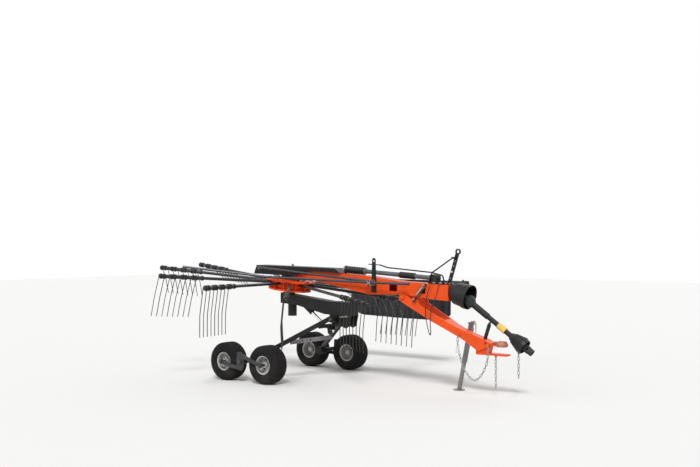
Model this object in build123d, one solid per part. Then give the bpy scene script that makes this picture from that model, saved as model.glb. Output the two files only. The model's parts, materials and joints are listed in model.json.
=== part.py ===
from build123d import *
from math import cos, radians, sin, tan
import os

# A trailed single-rotor hay rake, parked on its jack with the rotor raised for the road.
# Lengths are in millimetres. X points to the tractor, Y to the rake's left, Z up from the ground.
# Every X below is measured from the rotor's axis, and every Y from the middle plane.
# The finished solids are moved so that the origin is the middle of the footprint.

# Footprint: how far its middle lies ahead of the rotor's axis and to the left of the middle plane
MIDDLE_X = 841.84
MIDDLE_Y = 59.27

# Clearances
SEAT_GAP = 0.3
RUNNING_GAP = 6.0

# Rotor
ARM_COUNT = 11
FIRST_ARM_ANGLE = 18.0
ROTOR_Z = 1130.0
ROTOR_NOSE_DOWN = 6.9
ROTOR_LEAN = 0.75
ARM_REACH = 1700.0
ARM_RISE = 25.0
ARM_TUBE_R = 19.0
ARM_TUBE_START = 180.0
ARM_SOCKET_R = 30.0
ARM_SOCKET_END = 236.0
DRUM_CORE_R = 205.0
DRUM_HEIGHT = 132.0
DRUM_TOP_R = 310.0
DRUM_TOP = 18.0
DRUM_BOTTOM_R = 270.0
DRUM_BOTTOM = 20.0
DRUM_RIB = 12.0
DRUM_RIB_OUT = 18.0
AXLE_R = 52.0
AXLE_FLANGE_R = 72.0
AXLE_DROP = 90.0

# Tine carriers: the outer sleeve of each arm with its coiled double tines
TINE_PAIRS = 4
CARRIER_LENGTH = 560.0
CARRIER_R = 24.0
CARRIER_CAP = 60.0
TINE_SPACING = 66.0
TINE_END_GAP = 15.0
TINE_DROP = 560.0
TINE_KINK = 0.55
TINE_BACK = 14.0
TINE_SWEEP = 12.0
TINE_FORWARD = 36.0
TINE_R = 4.75
COIL_R = 32.0
COIL_LENGTH = 27.0
CLAMP_SIZE = 48.0
CLAMP_WIDTH = 24.0
# One lift angle for each arm, in order: how far the cam track has turned its tines up and back
TINE_LIFT = (0, 0, 2, 24, 50, 68, 70, 68, 48, 4, 0)

# Chassis beam under the rotor, an open channel
CHASSIS_WIDTH = 150.0
CHASSIS_WALL = 8.0
# Side outline, columns x and z
CHASSIS_TOP = ((-95, 1032), (150, 1002), (660, 948), (1000, 944))
CHASSIS_FRONT = ((1022, 783), (990, 655), (940, 628), (840, 672), (735, 676), (700, 735), (692, 786))
CHASSIS_BOTTOM = ((620, 788), (172, 881), (-95, 900))
FOOT_X = 38.0
FOOT_R = 55.0
FOOT_LOW_Z = 740.0
FOOT_TOP_Z = 1012.0

# Lift: the swing frame hinged at the chassis beam's front, and its cylinder
SWING_X = 790.0
SWING_Z = 735.0
SWING_TUBE_R = 36.0
SWING_TUBE_HALF = 175.0
SWING_ARM_ROOT_Y = 140.0
SWING_ARM_END_X = 50.0
SWING_ARM_END_Y = 598.0
SWING_ARM_END_Z = 266.0
SWING_ARM_HEIGHT = 56.0
SWING_ARM_WIDTH = 36.0
SWING_ARM_RISE = 28.0
CROSS_PLATE_X = 352.0
CROSS_PLATE_Z = 456.0
CROSS_PLATE_HEIGHT = 52.0
CROSS_PLATE_HOLE_R = 16.0
CROSS_PLATE_HOLE_Y = (-186.0, -30.0)
CROSS_PLATE_THICK = 10.0
LEVER_TUBE_X = 655.0
LEVER_TUBE_Z = 648.0
LEVER_TUBE_R = 24.0
EYE_X = 665.0
EYE_Z = 580.0
CYLINDER_X = 130.0
CYLINDER_Z = 962.0
BARREL_R = 34.0
BARREL_LENGTH = 285.0
ROD_R = 20.0
ROD_INSERT = 55.0
EYE_R = 30.0
EYE_PIN_R = 12.5
EYE_WIDTH = 40.0
EYE_DRIFT = 11.0

# Wheels and rocking bogies
WHEEL_TRACK = 1608.0
WHEEL_BASE = 633.0
TYRE_R = 228.5
TYRE_WIDTH = 216.0
TREAD_WIDTH = 150.0
RIM_R = 118.0
RIM_BARREL_R = 101.0
RIM_WIDTH = 184.0
RIM_WALL = 4.0
RIM_DISC_OUT = 22.0
HUB_R = 34.0
HUB_LENGTH = 130.0
STUB_R = 16.0
BOGIE_X = 30.0
BOGIE_Z = 250.0
BOGIE_PIN_R = 25.0
BOGIE_SLEEVE_R = 38.0
BOGIE_PLATE = 14.0
BOGIE_GAP = 16.0
BOGIE_ARM_HEIGHT = 44.0

# Main beam over the rotor, front frame, gearbox and cover
BEAM_WIDTH = 140.0
# Side outline of the beam, columns x and z
BEAM_OUTLINE = ((-140, 1346), (1270, 1264), (1270, 1052), (851, 1125), (462, 1190), (-140, 1266))
FRAME_WIDTH = 190.0
FRAME_WALL = 8.0
# Side outline of the front frame, from its top at the rear round to its bottom at the rear
FRAME_OUTLINE = (
    (1270, 1264), (1740, 1214), (2380, 1190), (2380, 1014), (2160, 1026), (1830, 1066), (1270, 1052),
)
FRAME_WINDOWS = (
    ((1590, 1104), (1700, 1100), (1700, 1176), (1590, 1182)),
    ((1965, 1090), (2085, 1084), (2085, 1166), (2030, 1170)),
)
GEARBOX_R = 98.0
GEARBOX_HEIGHT = 96.0
COVER_WIDTH = 220.0
COVER_WALL = 4.0
COVER_BRACKET = 24.0
COVER_BRACKET_X = (150.0, 560.0)
COVER_BRACKET_Z = 1312.0
COVER_OUTLINE = ((-520, 1262), (-474, 1374), (800, 1350), (874, 1296), (420, 1312), (180, 1246))

# Drive line on the beam
DRIVE_R = 26.0
DRIVE_Z_REAR = 1337.0
DRIVE_Z_FRONT = 1262.0
BELLOWS_R = 46.0
BELLOWS_RIB = 9.0
BELLOWS_X = 884.0
BELLOWS_LENGTH = 300.0
BELLOWS_RIBS = 8
DRIVE_FRONT_X = 2110.0
BEARING_LENGTH = 90.0

# Guard and shaft to the tractor
GUARD_X = 2380.0
GUARD_Z = 1114.0
GUARD_TILT = 14.0
GUARD_LENGTH = 235.0
GUARD_BACK_R = 92.0
GUARD_MOUTH_R = 138.0
GUARD_WALL = 4.0
INPUT_R = 24.0
EAR_FAR = 41.0
EAR_THICK = 14.0
EAR_HALF = 22.0
CROSS_R = 9.0
JOINT_BASE = 44.0
SHAFT_X = 2500.0
SHAFT_Z = 1084.0
SHAFT_TILT = 34.5
SHAFT_TUBE_R = 31.0
TUBE_START = 84.0
SHANK_R = 20.0
SHANK_START = 640.0
SHAFT_TUBE_END = 780.0
BAND_START = 556.0
BAND_LENGTH = 104.0
BOOT_START = 742.0
BOOT_RIBS = 5
SHAFT_LENGTH = 1040.0
YOKE_BORE_R = 17.5

# Drawbar, hitch and jack
DRAWBAR_X = 1785.0
DRAWBAR_Z = 1034.0
DRAWBAR_TILT = 7.0
DRAWBAR_PLATE = 12.0
DRAWBAR_SIDE_GAP = 4.0
DRAWBAR_PIN_R = 20.0
DRAWBAR_BOSS_R = 32.0
DRAWBAR_FRONT_HALF = 58.0
# Plan: where the plates start, bend inwards, close to a box and end
DRAWBAR_REAR_X = 1700.0
DRAWBAR_BEND_X = 2150.0
DRAWBAR_NECK_X = 2560.0
DRAWBAR_BOX_X = 2320.0
DRAWBAR_END_X = 2960.0
DRAWBAR_OUTLINE = (
    (1735, 1003), (1743, 1058), (1760, 1076), (1812, 1076), (1922, 1008), (1934, 1044), (1986, 1044),
    (2006, 968), (2176, 872), (2281, 824), (2420, 750), (2621, 672), (2807, 614), (2900, 575), (2870, 535),
    (2733, 482), (2515, 614), (2158, 788), (1828, 953),
)
HITCH_X = 3000.0
HITCH_UPPER_Z = 545.0
HITCH_LOWER_Z = 444.0
HITCH_PLATE = 20.0
HITCH_HALF = 46.0
HITCH_PIN_R = 16.0
HITCH_NOSE = 52.0
JACK_X = 2372.0
JACK_Y = 160.0
JACK_LEAN = 12.0
JACK_TUBE = 44.0
JACK_WALL = 4.0
JACK_TUBE_START = 330.0
JACK_TUBE_END = 770.0
JACK_LEG_END = 500.0
JACK_FOOT_R = 66.0
JACK_FOOT_THICK = 8.0
TIE_TOP_X = 2100.0
TIE_TOP_Z = 1186.0
TIE_LOW_X = 1962.0
TIE_LOW_Z = 1022.0
TIE_R = 15.0
TIE_PIN_R = 9.0
PROP_LOW = (2776, 0, 560)
PROP_TOP = (2856, 0, 800)

# Swath curtain on the left
CURTAIN_Y = 1790.0
CURTAIN_THICK = 8.0
CURTAIN_OUTLINE = (
    (-380, 1112), (1280, 1112), (1280, 700), (1225, 640), (1100, 612), (400, 618), (-150, 634),
    (-310, 672), (-380, 800),
)
RAIL_SIZE = 40.0
CARRIER_X = 1520.0
CARRIER_Z = 1132.0
CARRIER_TUBE = 60.0
CARRIER_WALL = 5.0
CARRIER_END_Y = 1000.0
CARRIER_OVERLAP = 650.0

# Post, mast and stowed guard bars
POST_X = 1378.0
POST_WIDTH = 62.0
POST_THICK = 16.0
POST_LOW_Z = 1080.0
POST_TOP_Z = 1482.0
POST_HOLE_R = 13.0
MAST_X = 2335.0
MAST_FOOT_Z = 1191.0
MAST_TOP_X = 2446.0
MAST_TOP_Z = 1536.0
MAST_WIDTH = 20.0
MAST_DEPTH = 40.0
MAST_LOOP_R = 32.0
STAY_R = 8.0
BAR_R = 15.0
# Bar routes, columns x, y and z
LONG_BAR = ((1930, -194, 1194), (1425, -194, 1196), (-60, -340, 1234), (-890, -1000, 1362))
SHORT_BAR = ((1440, -150, 1200), (-430, -150, 1348))

# Hydraulic hose: one loop out of a block on the front frame, columns x, y and z
HOSE_R = 5.0
HOSE_FACE_Y = -88.0
HOSE_ROUTE = (
    (2292, -88, 1212), (2292, -154, 1212), (2312, -190, 1146), (2290, -222, 1032), (2246, -230, 928),
    (2231, -228, 788), (2242, -222, 642), (2166, -136, 628), (2128, -139, 770), (2112, -141, 900),
    (2140, -160, 1032), (2196, -196, 1150), (2206, -154, 1212), (2206, -88, 1212),
)
HOSE_BLOCK_LOW_Z = 1180.0
HOSE_BLOCK_MARGIN = 16.0
HOSE_BLOCK_DEEP = 37.0

# Chains: pitch, wire and width of a link, and routes with columns x, y and z
LINK_PITCH = 38.0
LINK_WIRE = 7.0
LINK_WIDTH = 27.0
STAPLE_R = 4.0
STAPLE_HALF = 14.0
SAFETY_CHAIN = ((2505, -90, 650), (2512, -92, 497), (2545, -92, 380), (2600, -92, 262), (2715, -92, 168),
                (2820, -92, 262), (2872, -90, 400), (2872, -84, 560))
HITCH_CHAIN = ((2925, 0, 430), (2925, 0, 62))
GUARD_CHAIN = ((3197.5, 0, 483.3), (3197.5, 0, 215))

nodes = {}


def outline_face(points):
    """Face in the XZ plane from (x, z) corners."""
    return make_face(Polyline(*[(x, 0, z) for x, z in points], close=True))


def side_plate(points, y_from, y_to):
    """Plate cut to a side-view outline, between two Y values."""
    return Pos(0, y_from, 0) * extrude(outline_face(points), amount=y_to - y_from, dir=(0, 1, 0))


def block(x0, x1, y0, y1, z0, z1):
    """Box between two corners."""
    return Pos((x0 + x1) / 2, (y0 + y1) / 2, (z0 + z1) / 2) * Box(x1 - x0, y1 - y0, z1 - z0)


def rod(start, end, radius):
    """Round bar between two points."""
    a = Vector(*start)
    b = Vector(*end)
    return extrude(Plane(origin=a, z_dir=b - a) * Circle(radius), amount=(b - a).length)


def pin(x, z, radius, y_from, y_to):
    """Round pin along Y."""
    return rod((x, y_from, z), (x, y_to, z), radius)


def square_bar(start, end, width, height):
    """Rectangular bar between two points, its height as near upright as it can be."""
    a = Vector(*start)
    b = Vector(*end)
    across = Vector(0, 0, 1).cross(b - a)
    plane = Plane(origin=a, x_dir=across, z_dir=b - a)
    return extrude(plane * Rectangle(width, height), amount=(b - a).length)


def bent_rod(points, radius, bend):
    """Round bar along a path with the same bend radius at each corner."""
    start = Vector(*points[0])
    path = FilletPolyline(*points, radius=bend)
    return sweep(Plane(origin=start, z_dir=Vector(*points[1]) - start) * Circle(radius), path=path)


def mirrored(shape):
    """Same piece on the other side of the middle plane."""
    return mirror(shape, about=Plane.XZ)


def keep(name, shape):
    """Register a node in the part's own frame; a list is one node of separate solids."""
    if isinstance(shape, list):
        solids = [solid for item in shape for solid in item.solids()]
        shape = Compound(children=solids)
    nodes[name] = Pos(-MIDDLE_X, -MIDDLE_Y, 0) * shape


def arm_turn(index):
    """Turn of an arm from straight ahead, towards the rake's right."""
    return Rot(0, 0, -FIRST_ARM_ANGLE - index * 360.0 / ARM_COUNT)


rotor_frame = Location((0, 0, ROTOR_Z), (-ROTOR_LEAN, ROTOR_NOSE_DOWN, 0))
tube_end = ARM_REACH - CARRIER_CAP - 2


# Rotor drum: a core between two plates, with ribs and a socket for each arm
def make_drum():
    half = DRUM_HEIGHT / 2
    bore_r = AXLE_R + SEAT_GAP
    top_edge = DRUM_TOP / 3
    profile = Polyline(
        (bore_r, 0, -half), (DRUM_BOTTOM_R, 0, -half), (DRUM_BOTTOM_R, 0, -half + DRUM_BOTTOM),
        (DRUM_CORE_R, 0, -half + DRUM_BOTTOM), (DRUM_CORE_R, 0, half - DRUM_TOP), (DRUM_TOP_R, 0, half - DRUM_TOP),
        (DRUM_TOP_R, 0, half - top_edge), (DRUM_TOP_R - DRUM_TOP, 0, half), (bore_r, 0, half), close=True,
    )
    drum = revolve(make_face(profile), axis=Axis.Z)
    rib_outline = (
        (DRUM_CORE_R - 5, -half + DRUM_BOTTOM - 1), (DRUM_BOTTOM_R - DRUM_RIB_OUT, -half + DRUM_BOTTOM - 1),
        (DRUM_TOP_R - DRUM_RIB_OUT, half - DRUM_TOP + 1), (DRUM_CORE_R - 5, half - DRUM_TOP + 1),
    )
    rib = Rot(0, 0, 180.0 / ARM_COUNT) * side_plate(rib_outline, -DRUM_RIB / 2, DRUM_RIB / 2)
    socket = rod((DRUM_CORE_R - 10, 0, ARM_RISE), (ARM_SOCKET_END, 0, ARM_RISE), ARM_SOCKET_R)
    bore = rod((ARM_TUBE_START, 0, ARM_RISE), (ARM_SOCKET_END + 1, 0, ARM_RISE), ARM_TUBE_R + SEAT_GAP)
    drum = drum + [arm_turn(index) * piece for index in range(ARM_COUNT) for piece in (rib, socket)]
    drum = drum - [arm_turn(index) * bore for index in range(ARM_COUNT)]
    return rotor_frame * drum


def tine_run(start, end):
    """Six-sided length of tine wire, a little long so that two runs join at the knee."""
    a = Vector(*start)
    b = Vector(*end)
    along = (b - a).normalized()
    overlap = TINE_R * 0.3
    plane = Plane(origin=a - along * overlap, x_dir=(1, 0, 0), z_dir=along)
    return extrude(plane * RegularPolygon(TINE_R, 6), amount=(b - a).length + 2 * overlap)


# One carrier along X: sleeve, clamps, coils round the sleeve and the kinked tines
def make_carrier():
    inner = ARM_REACH - CARRIER_LENGTH
    pieces = [rod((inner, 0, 0), (ARM_REACH, 0, 0), CARRIER_R)]
    first = ARM_REACH - TINE_END_GAP - TINE_SPACING * (2 * TINE_PAIRS - 1)
    knee = -TINE_DROP * TINE_KINK
    knee_y = -TINE_BACK - TINE_SWEEP
    start_z = -(COIL_R - TINE_R)
    for pair in range(TINE_PAIRS):
        middle = first + TINE_SPACING * (2 * pair + 0.5)
        pieces.append(Pos(middle, 0, 0) * Box(CLAMP_WIDTH, CLAMP_SIZE, CLAMP_SIZE))
        for side in (-1, 1):
            out = middle + side * TINE_SPACING / 2
            near = out - side * COIL_LENGTH
            coil_plane = Plane(origin=(near, 0, 0), x_dir=(0, 1, 0), z_dir=(side, 0, 0))
            pieces.append(extrude(coil_plane * RegularPolygon(COIL_R, 8), amount=COIL_LENGTH + TINE_R))
            pieces.append(tine_run((out, -TINE_BACK, start_z), (out, knee_y, knee)))
            pieces.append(tine_run((out, knee_y, knee), (out, knee_y + TINE_FORWARD, -TINE_DROP)))
    carrier = pieces[0] + pieces[1:]
    return carrier - rod((inner - 1, 0, 0), (tube_end + SEAT_GAP, 0, 0), ARM_TUBE_R + SEAT_GAP)


def make_arms():
    tube = rod((ARM_TUBE_START + SEAT_GAP, 0, 0), (tube_end, 0, 0), ARM_TUBE_R)
    carrier = make_carrier()
    places = [rotor_frame * Pos(0, 0, ARM_RISE) * arm_turn(index) for index in range(ARM_COUNT)]
    tubes = [place * tube for place in places]
    carriers = [place * Rot(-lift, 0, 0) * carrier for place, lift in zip(places, TINE_LIFT)]
    return tubes, carriers


# Chassis beam: an open channel with pivot cheeks at its front
def make_chassis():
    half = CHASSIS_WIDTH / 2
    inside = half - CHASSIS_WALL
    outline = CHASSIS_TOP + CHASSIS_FRONT + CHASSIS_BOTTOM
    beam = side_plate(outline, -half, half)
    front_x = CHASSIS_TOP[-1][0]
    rear_x = CHASSIS_TOP[0][0]
    ceiling = [(x, z - CHASSIS_WALL) for x, z in CHASSIS_TOP[1:-1]]
    hollow = [(rear_x + CHASSIS_WALL, CHASSIS_TOP[0][1] - CHASSIS_WALL)]
    hollow += ceiling
    hollow += [(front_x - CHASSIS_WALL, CHASSIS_TOP[-1][1] - CHASSIS_WALL)]
    hollow += [(front_x - CHASSIS_WALL, SWING_Z + SWING_TUBE_R + 24), (front_x + 60, SWING_Z + SWING_TUBE_R)]
    hollow += [(front_x + 60, CHASSIS_FRONT[2][1] - 60), (rear_x + CHASSIS_WALL, CHASSIS_FRONT[2][1] - 60)]
    beam = beam - side_plate(hollow, -inside, inside)
    beam = beam - pin(SWING_X, SWING_Z, SWING_TUBE_R + SEAT_GAP, -half - 1, half + 1)
    foot = rod((FOOT_X, 0, FOOT_LOW_Z), (FOOT_X, 0, FOOT_TOP_Z), FOOT_R)
    return beam + [foot, pin(CYLINDER_X, CYLINDER_Z, EYE_PIN_R, -inside - 1, inside + 1)]


def make_rotor_axle(chassis):
    half = DRUM_HEIGHT / 2
    axle = rod((0, 0, -half - RUNNING_GAP - 30), (0, 0, half + RUNNING_GAP), AXLE_R)
    flange = rod((0, 0, -half - AXLE_DROP), (0, 0, -half - RUNNING_GAP), AXLE_FLANGE_R)
    channel = side_plate(CHASSIS_TOP + ((1000, 600), (-95, 600)), -CHASSIS_WIDTH, CHASSIS_WIDTH)
    return rotor_frame * (axle + flange) - channel


# Lift frame: two spread arms on a tube through the cheeks, a lever tube and the bogie pins
def make_swing():
    half = WHEEL_TRACK / 2
    pin_end = half + TYRE_WIDTH / 2 + BOGIE_GAP + BOGIE_PLATE + 10
    tube = pin(SWING_X, SWING_Z, SWING_TUBE_R, -SWING_TUBE_HALF, SWING_TUBE_HALF)
    arm = square_bar(
        (SWING_X, SWING_ARM_ROOT_Y, SWING_Z + SWING_ARM_RISE),
        (SWING_ARM_END_X, SWING_ARM_END_Y, SWING_ARM_END_Z + SWING_ARM_RISE),
        SWING_ARM_WIDTH, SWING_ARM_HEIGHT,
    )
    boss = pin(BOGIE_X, BOGIE_Z, BOGIE_PIN_R * 2, SWING_ARM_END_Y - 60, SWING_ARM_END_Y + 46)
    spindle = pin(BOGIE_X, BOGIE_Z, BOGIE_PIN_R, SWING_ARM_END_Y, pin_end)
    side = arm + [boss, spindle]
    share = (SWING_X - LEVER_TUBE_X) / (SWING_X - SWING_ARM_END_X)
    lever_half = SWING_ARM_ROOT_Y + share * (SWING_ARM_END_Y - SWING_ARM_ROOT_Y)
    lever_tube = pin(LEVER_TUBE_X, LEVER_TUBE_Z, LEVER_TUBE_R, -lever_half, lever_half)
    lug_outline = (
        (LEVER_TUBE_X - 30, LEVER_TUBE_Z + 10), (LEVER_TUBE_X + 34, LEVER_TUBE_Z + 4),
        (EYE_X + 36, EYE_Z - 16), (EYE_X + 12, EYE_Z - 38), (EYE_X - 28, EYE_Z - 30),
    )
    inner = EYE_WIDTH / 2 + 5
    lug = side_plate(lug_outline, inner, inner + 12)
    lug = lug - pin(EYE_X, EYE_Z, EYE_PIN_R + EYE_DRIFT, inner - 1, inner + 13)
    return tube + [side, mirrored(side), lever_tube, lug, mirrored(lug)]


def make_cross_plate(swing):
    share = (SWING_X - CROSS_PLATE_X) / (SWING_X - SWING_ARM_END_X)
    y = SWING_ARM_ROOT_Y + share * (SWING_ARM_END_Y - SWING_ARM_ROOT_Y)
    z = CROSS_PLATE_Z
    half = CROSS_PLATE_HEIGHT / 2
    plate = block(CROSS_PLATE_X, CROSS_PLATE_X + CROSS_PLATE_THICK, -y, y, z - half, z + half)
    for hole_y in CROSS_PLATE_HOLE_Y:
        at = (CROSS_PLATE_X - 1, hole_y, z)
        to = (CROSS_PLATE_X + CROSS_PLATE_THICK + 1, hole_y, z)
        plate = plate - rod(at, to, CROSS_PLATE_HOLE_R)
    return plate - swing


# Lift cylinder
def make_cylinder():
    start = Vector(CYLINDER_X, 0, CYLINDER_Z)
    end = Vector(EYE_X, 0, EYE_Z)
    along = (end - start).normalized()

    def at(distance):
        point = start + along * distance
        return (point.X, point.Y, point.Z)

    reach = (end - start).length
    half = EYE_WIDTH / 2
    barrel_eye = pin(CYLINDER_X, CYLINDER_Z, EYE_R, -half, half)
    barrel = rod(at(20), at(BARREL_LENGTH), BARREL_R) + barrel_eye
    barrel = barrel - rod(at(BARREL_LENGTH - 200), at(BARREL_LENGTH + 1), ROD_R + SEAT_GAP)
    barrel = barrel - pin(CYLINDER_X, CYLINDER_Z, EYE_PIN_R + SEAT_GAP, -half - 20, half + 20)
    rod_eye = pin(EYE_X, EYE_Z, EYE_R, -half, half)
    long_pin = pin(EYE_X, EYE_Z, EYE_PIN_R, -half - 24, half + 24)
    piston_rod = rod(at(BARREL_LENGTH - ROD_INSERT), at(reach), ROD_R)
    return barrel, piston_rod + [rod_eye, long_pin]


# One rocking bogie on the left, wheels on stub axles that point inboard
def make_bogie():
    outer = WHEEL_TRACK / 2 + TYRE_WIDTH / 2
    near = outer + BOGIE_GAP
    far = near + BOGIE_PLATE
    middle = (near + far) / 2
    plate_outline = (
        (BOGIE_X - 52, BOGIE_Z + 112), (BOGIE_X + 22, BOGIE_Z + 118), (BOGIE_X + 58, BOGIE_Z + 60),
        (BOGIE_X + 56, BOGIE_Z - 50), (BOGIE_X + 20, BOGIE_Z - 104), (BOGIE_X - 44, BOGIE_Z - 98),
        (BOGIE_X - 58, BOGIE_Z - 20),
    )
    plate = side_plate(plate_outline, near, far)
    sleeve = pin(BOGIE_X, BOGIE_Z, BOGIE_SLEEVE_R, near, far + 10)
    front_x = BOGIE_X + WHEEL_BASE / 2
    rear_x = BOGIE_X - WHEEL_BASE / 2
    front_arm = square_bar(
        (BOGIE_X - 20, middle, BOGIE_Z + 84), (front_x, middle, TYRE_R), BOGIE_PLATE, BOGIE_ARM_HEIGHT)
    rear_low = square_bar(
        (BOGIE_X, middle, BOGIE_Z - 74), (BOGIE_X - 130, middle, BOGIE_Z - 62), BOGIE_PLATE, BOGIE_ARM_HEIGHT)
    rear_arm = square_bar(
        (BOGIE_X - 118, middle, BOGIE_Z - 66), (rear_x, middle, TYRE_R), BOGIE_PLATE, BOGIE_ARM_HEIGHT)
    bosses = [pin(x, TYRE_R, 30, near, far) for x in (front_x, rear_x)]
    inboard = WHEEL_TRACK / 2 - HUB_LENGTH / 2 + 12
    stubs = [pin(x, TYRE_R, STUB_R, inboard, middle) for x in (front_x, rear_x)]
    beam = plate + [sleeve, front_arm, rear_low, rear_arm] + bosses + stubs
    return beam - pin(BOGIE_X, BOGIE_Z, BOGIE_PIN_R + SEAT_GAP, near - 1, far + 20)


def around_hub(points):
    """Ring about the Y axis from (radius, y) corners."""
    profile = make_face(Polyline(*[(r, y, 0) for r, y in points], close=True))
    return revolve(profile, axis=Axis.Y)


def make_tyre():
    half = TYRE_WIDTH / 2
    tread = TREAD_WIDTH / 2
    bead = RIM_WIDTH / 2 - 8 - SEAT_GAP
    inner = RIM_BARREL_R + SEAT_GAP
    right = [(inner, bead), (RIM_R + 6, bead), (RIM_R + 26, half - 6), (RIM_R + 56, half),
             (TYRE_R - 34, half - 4), (TYRE_R - 8, tread), (TYRE_R, tread * 0.5)]
    left = [(r, -y) for r, y in reversed(right)]
    return around_hub(right + left)


def make_rim():
    half = RIM_WIDTH / 2
    flange = 6.0
    barrel_in = RIM_BARREL_R - RIM_WALL
    disc = RIM_DISC_OUT
    points = [
        (HUB_R, disc), (barrel_in, disc), (barrel_in, half - flange - 2), (RIM_R - 4, half), (RIM_R, half),
        (RIM_R, half - flange), (RIM_BARREL_R, half - flange - 2), (RIM_BARREL_R, -half + flange + 2),
        (RIM_R, -half + flange), (RIM_R, -half), (RIM_R - 4, -half), (barrel_in, -half + flange + 2),
        (barrel_in, disc - 8), (HUB_R, disc - 8),
    ]
    bore = STUB_R + 0.05
    hub_half = HUB_LENGTH / 2
    hub = around_hub([(bore, -hub_half + 10), (bore, hub_half), (HUB_R, hub_half), (HUB_R, -hub_half + 18),
                      (HUB_R - 6, -hub_half), (0, -hub_half), (0, -hub_half + 10)])
    return around_hub(points) + hub


# Main beam, front frame, gearbox and cover
def make_beam():
    half = BEAM_WIDTH / 2
    return side_plate(BEAM_OUTLINE, -half, half)


def make_frame():
    half = FRAME_WIDTH / 2
    frame = side_plate(FRAME_OUTLINE, -half, half)
    wall = FRAME_WALL
    rear_x = FRAME_OUTLINE[0][0]
    front_x = FRAME_OUTLINE[2][0]
    top = FRAME_OUTLINE[:3]
    hollow = [(min(max(x, rear_x + wall), front_x - wall), z - wall) for x, z in top]
    hollow += [(min(max(x, rear_x + wall), front_x - wall), z + wall) for x, z in FRAME_OUTLINE[3:]]
    frame = frame - side_plate(hollow, -half + wall, half - wall)
    for window in FRAME_WINDOWS:
        frame = frame - side_plate(window, -half - 1, half + 1)
    side = FRAME_WIDTH / 2 + DRAWBAR_SIDE_GAP + DRAWBAR_PLATE + 6
    lug = block(DRAWBAR_X - DRAWBAR_BOSS_R, DRAWBAR_X + DRAWBAR_BOSS_R, -half, half,
                DRAWBAR_Z, DRAWBAR_Z + DRAWBAR_BOSS_R + wall)
    boss = pin(DRAWBAR_X, DRAWBAR_Z, DRAWBAR_BOSS_R, -half, half)
    frame = frame + [lug, boss, pin(DRAWBAR_X, DRAWBAR_Z, DRAWBAR_PIN_R, -side, side)]
    tie_side = side + 2 * TIE_R + 4
    return frame + pin(TIE_TOP_X, TIE_TOP_Z, TIE_PIN_R, -tie_side, -half + 1)


def make_gearbox(beam):
    low = DRUM_HEIGHT / 2 + RUNNING_GAP
    housing = rod((0, 0, low), (0, 0, low + GEARBOX_HEIGHT), GEARBOX_R)
    neck = rod((0, 0, low), (0, 0, low + 22), GEARBOX_R + 22)
    return rotor_frame * (housing + neck) - beam


def make_cover(beam):
    half = COVER_WIDTH / 2
    cover = side_plate(COVER_OUTLINE, -half, half)
    wall = COVER_WALL
    xs = COVER_OUTLINE
    hollow = (
        (xs[0][0] - 60, xs[0][1] - 60), (xs[0][0] + wall, xs[0][1] - 1), (xs[1][0] + wall, xs[1][1] - wall),
        (xs[2][0] - wall, xs[2][1] - wall), (xs[3][0] - wall, xs[3][1]), (xs[3][0], xs[3][1] - 60),
        (xs[4][0], xs[4][1] - 120),
    )
    cover = cover - side_plate(hollow, -half + wall, half - wall)
    seat = BEAM_WIDTH / 2 + SEAT_GAP
    brackets = [block(x, x + COVER_BRACKET, seat, half - 1, COVER_BRACKET_Z, COVER_BRACKET_Z + COVER_BRACKET)
                for x in COVER_BRACKET_X]
    return cover + brackets + [mirrored(bracket) for bracket in brackets]


# Drive tube, bellows and front bearing on the beam
def drive_at(x):
    share = (x - BELLOWS_X) / (DRIVE_FRONT_X - BELLOWS_X)
    return (x, 0, DRIVE_Z_REAR + share * (DRIVE_Z_FRONT - DRIVE_Z_REAR))


def make_bellows():
    step = BELLOWS_LENGTH / BELLOWS_RIBS
    points = [(0, 0)]
    for rib in range(BELLOWS_RIBS):
        points += [(BELLOWS_R - BELLOWS_RIB, rib * step), (BELLOWS_R, (rib + 0.5) * step)]
    points += [(BELLOWS_R - BELLOWS_RIB, BELLOWS_LENGTH), (0, BELLOWS_LENGTH)]
    profile = make_face(Polyline(*[(r, 0, h) for r, h in points], close=True))
    body = revolve(profile, axis=Axis.Z)
    start = Vector(*drive_at(BELLOWS_X))
    end = Vector(*drive_at(DRIVE_FRONT_X))
    return Plane(origin=start, z_dir=end - start).location * body


def make_drive_tube():
    start = drive_at(BELLOWS_X + BELLOWS_LENGTH)
    return rod(start, drive_at(DRIVE_FRONT_X), DRIVE_R)


def make_front_bearing(drive_tube):
    x = DRIVE_FRONT_X
    z = drive_at(x)[2]
    low = z - 90
    base = [(x, low), (x, z + 34), (x + 30, z + 42), (x + BEARING_LENGTH, z + 30), (x + BEARING_LENGTH, low)]
    frame_top = side_plate(FRAME_OUTLINE, -FRAME_WIDTH, FRAME_WIDTH)
    return side_plate(base, -48, 48) - frame_top - drive_tube


# Guard, input and the shaft to the tractor
guard_frame = Location((GUARD_X, 0, GUARD_Z), (0, 90 + GUARD_TILT, 0))
shaft_frame = Location((SHAFT_X, 0, SHAFT_Z), (0, 90 + SHAFT_TILT, 0))


def turned(points, place):
    """Turned piece from (radius, height) corners, set in its place."""
    profile = make_face(Polyline(*[(r, 0, h) for r, h in points], close=True))
    return place * revolve(profile, axis=Axis.Z)


def make_guard():
    wall = GUARD_WALL
    straight = GUARD_LENGTH * 0.72
    guard = turned([
        (INPUT_R + 12, -40), (GUARD_BACK_R, -40), (GUARD_BACK_R, 10), (GUARD_MOUTH_R - 14, 70),
        (GUARD_MOUTH_R - 8, straight), (GUARD_MOUTH_R, straight + 8), (GUARD_MOUTH_R, GUARD_LENGTH),
        (GUARD_MOUTH_R - wall, GUARD_LENGTH), (GUARD_MOUTH_R - wall - 8, straight - 4),
        (GUARD_MOUTH_R - wall - 14, 72), (GUARD_BACK_R - wall, 14), (INPUT_R + 12, 14),
    ], guard_frame)
    front = block(GUARD_X, GUARD_X + 400, -300, 300, GUARD_Z - 400, GUARD_Z + 400)
    return guard & front


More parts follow.
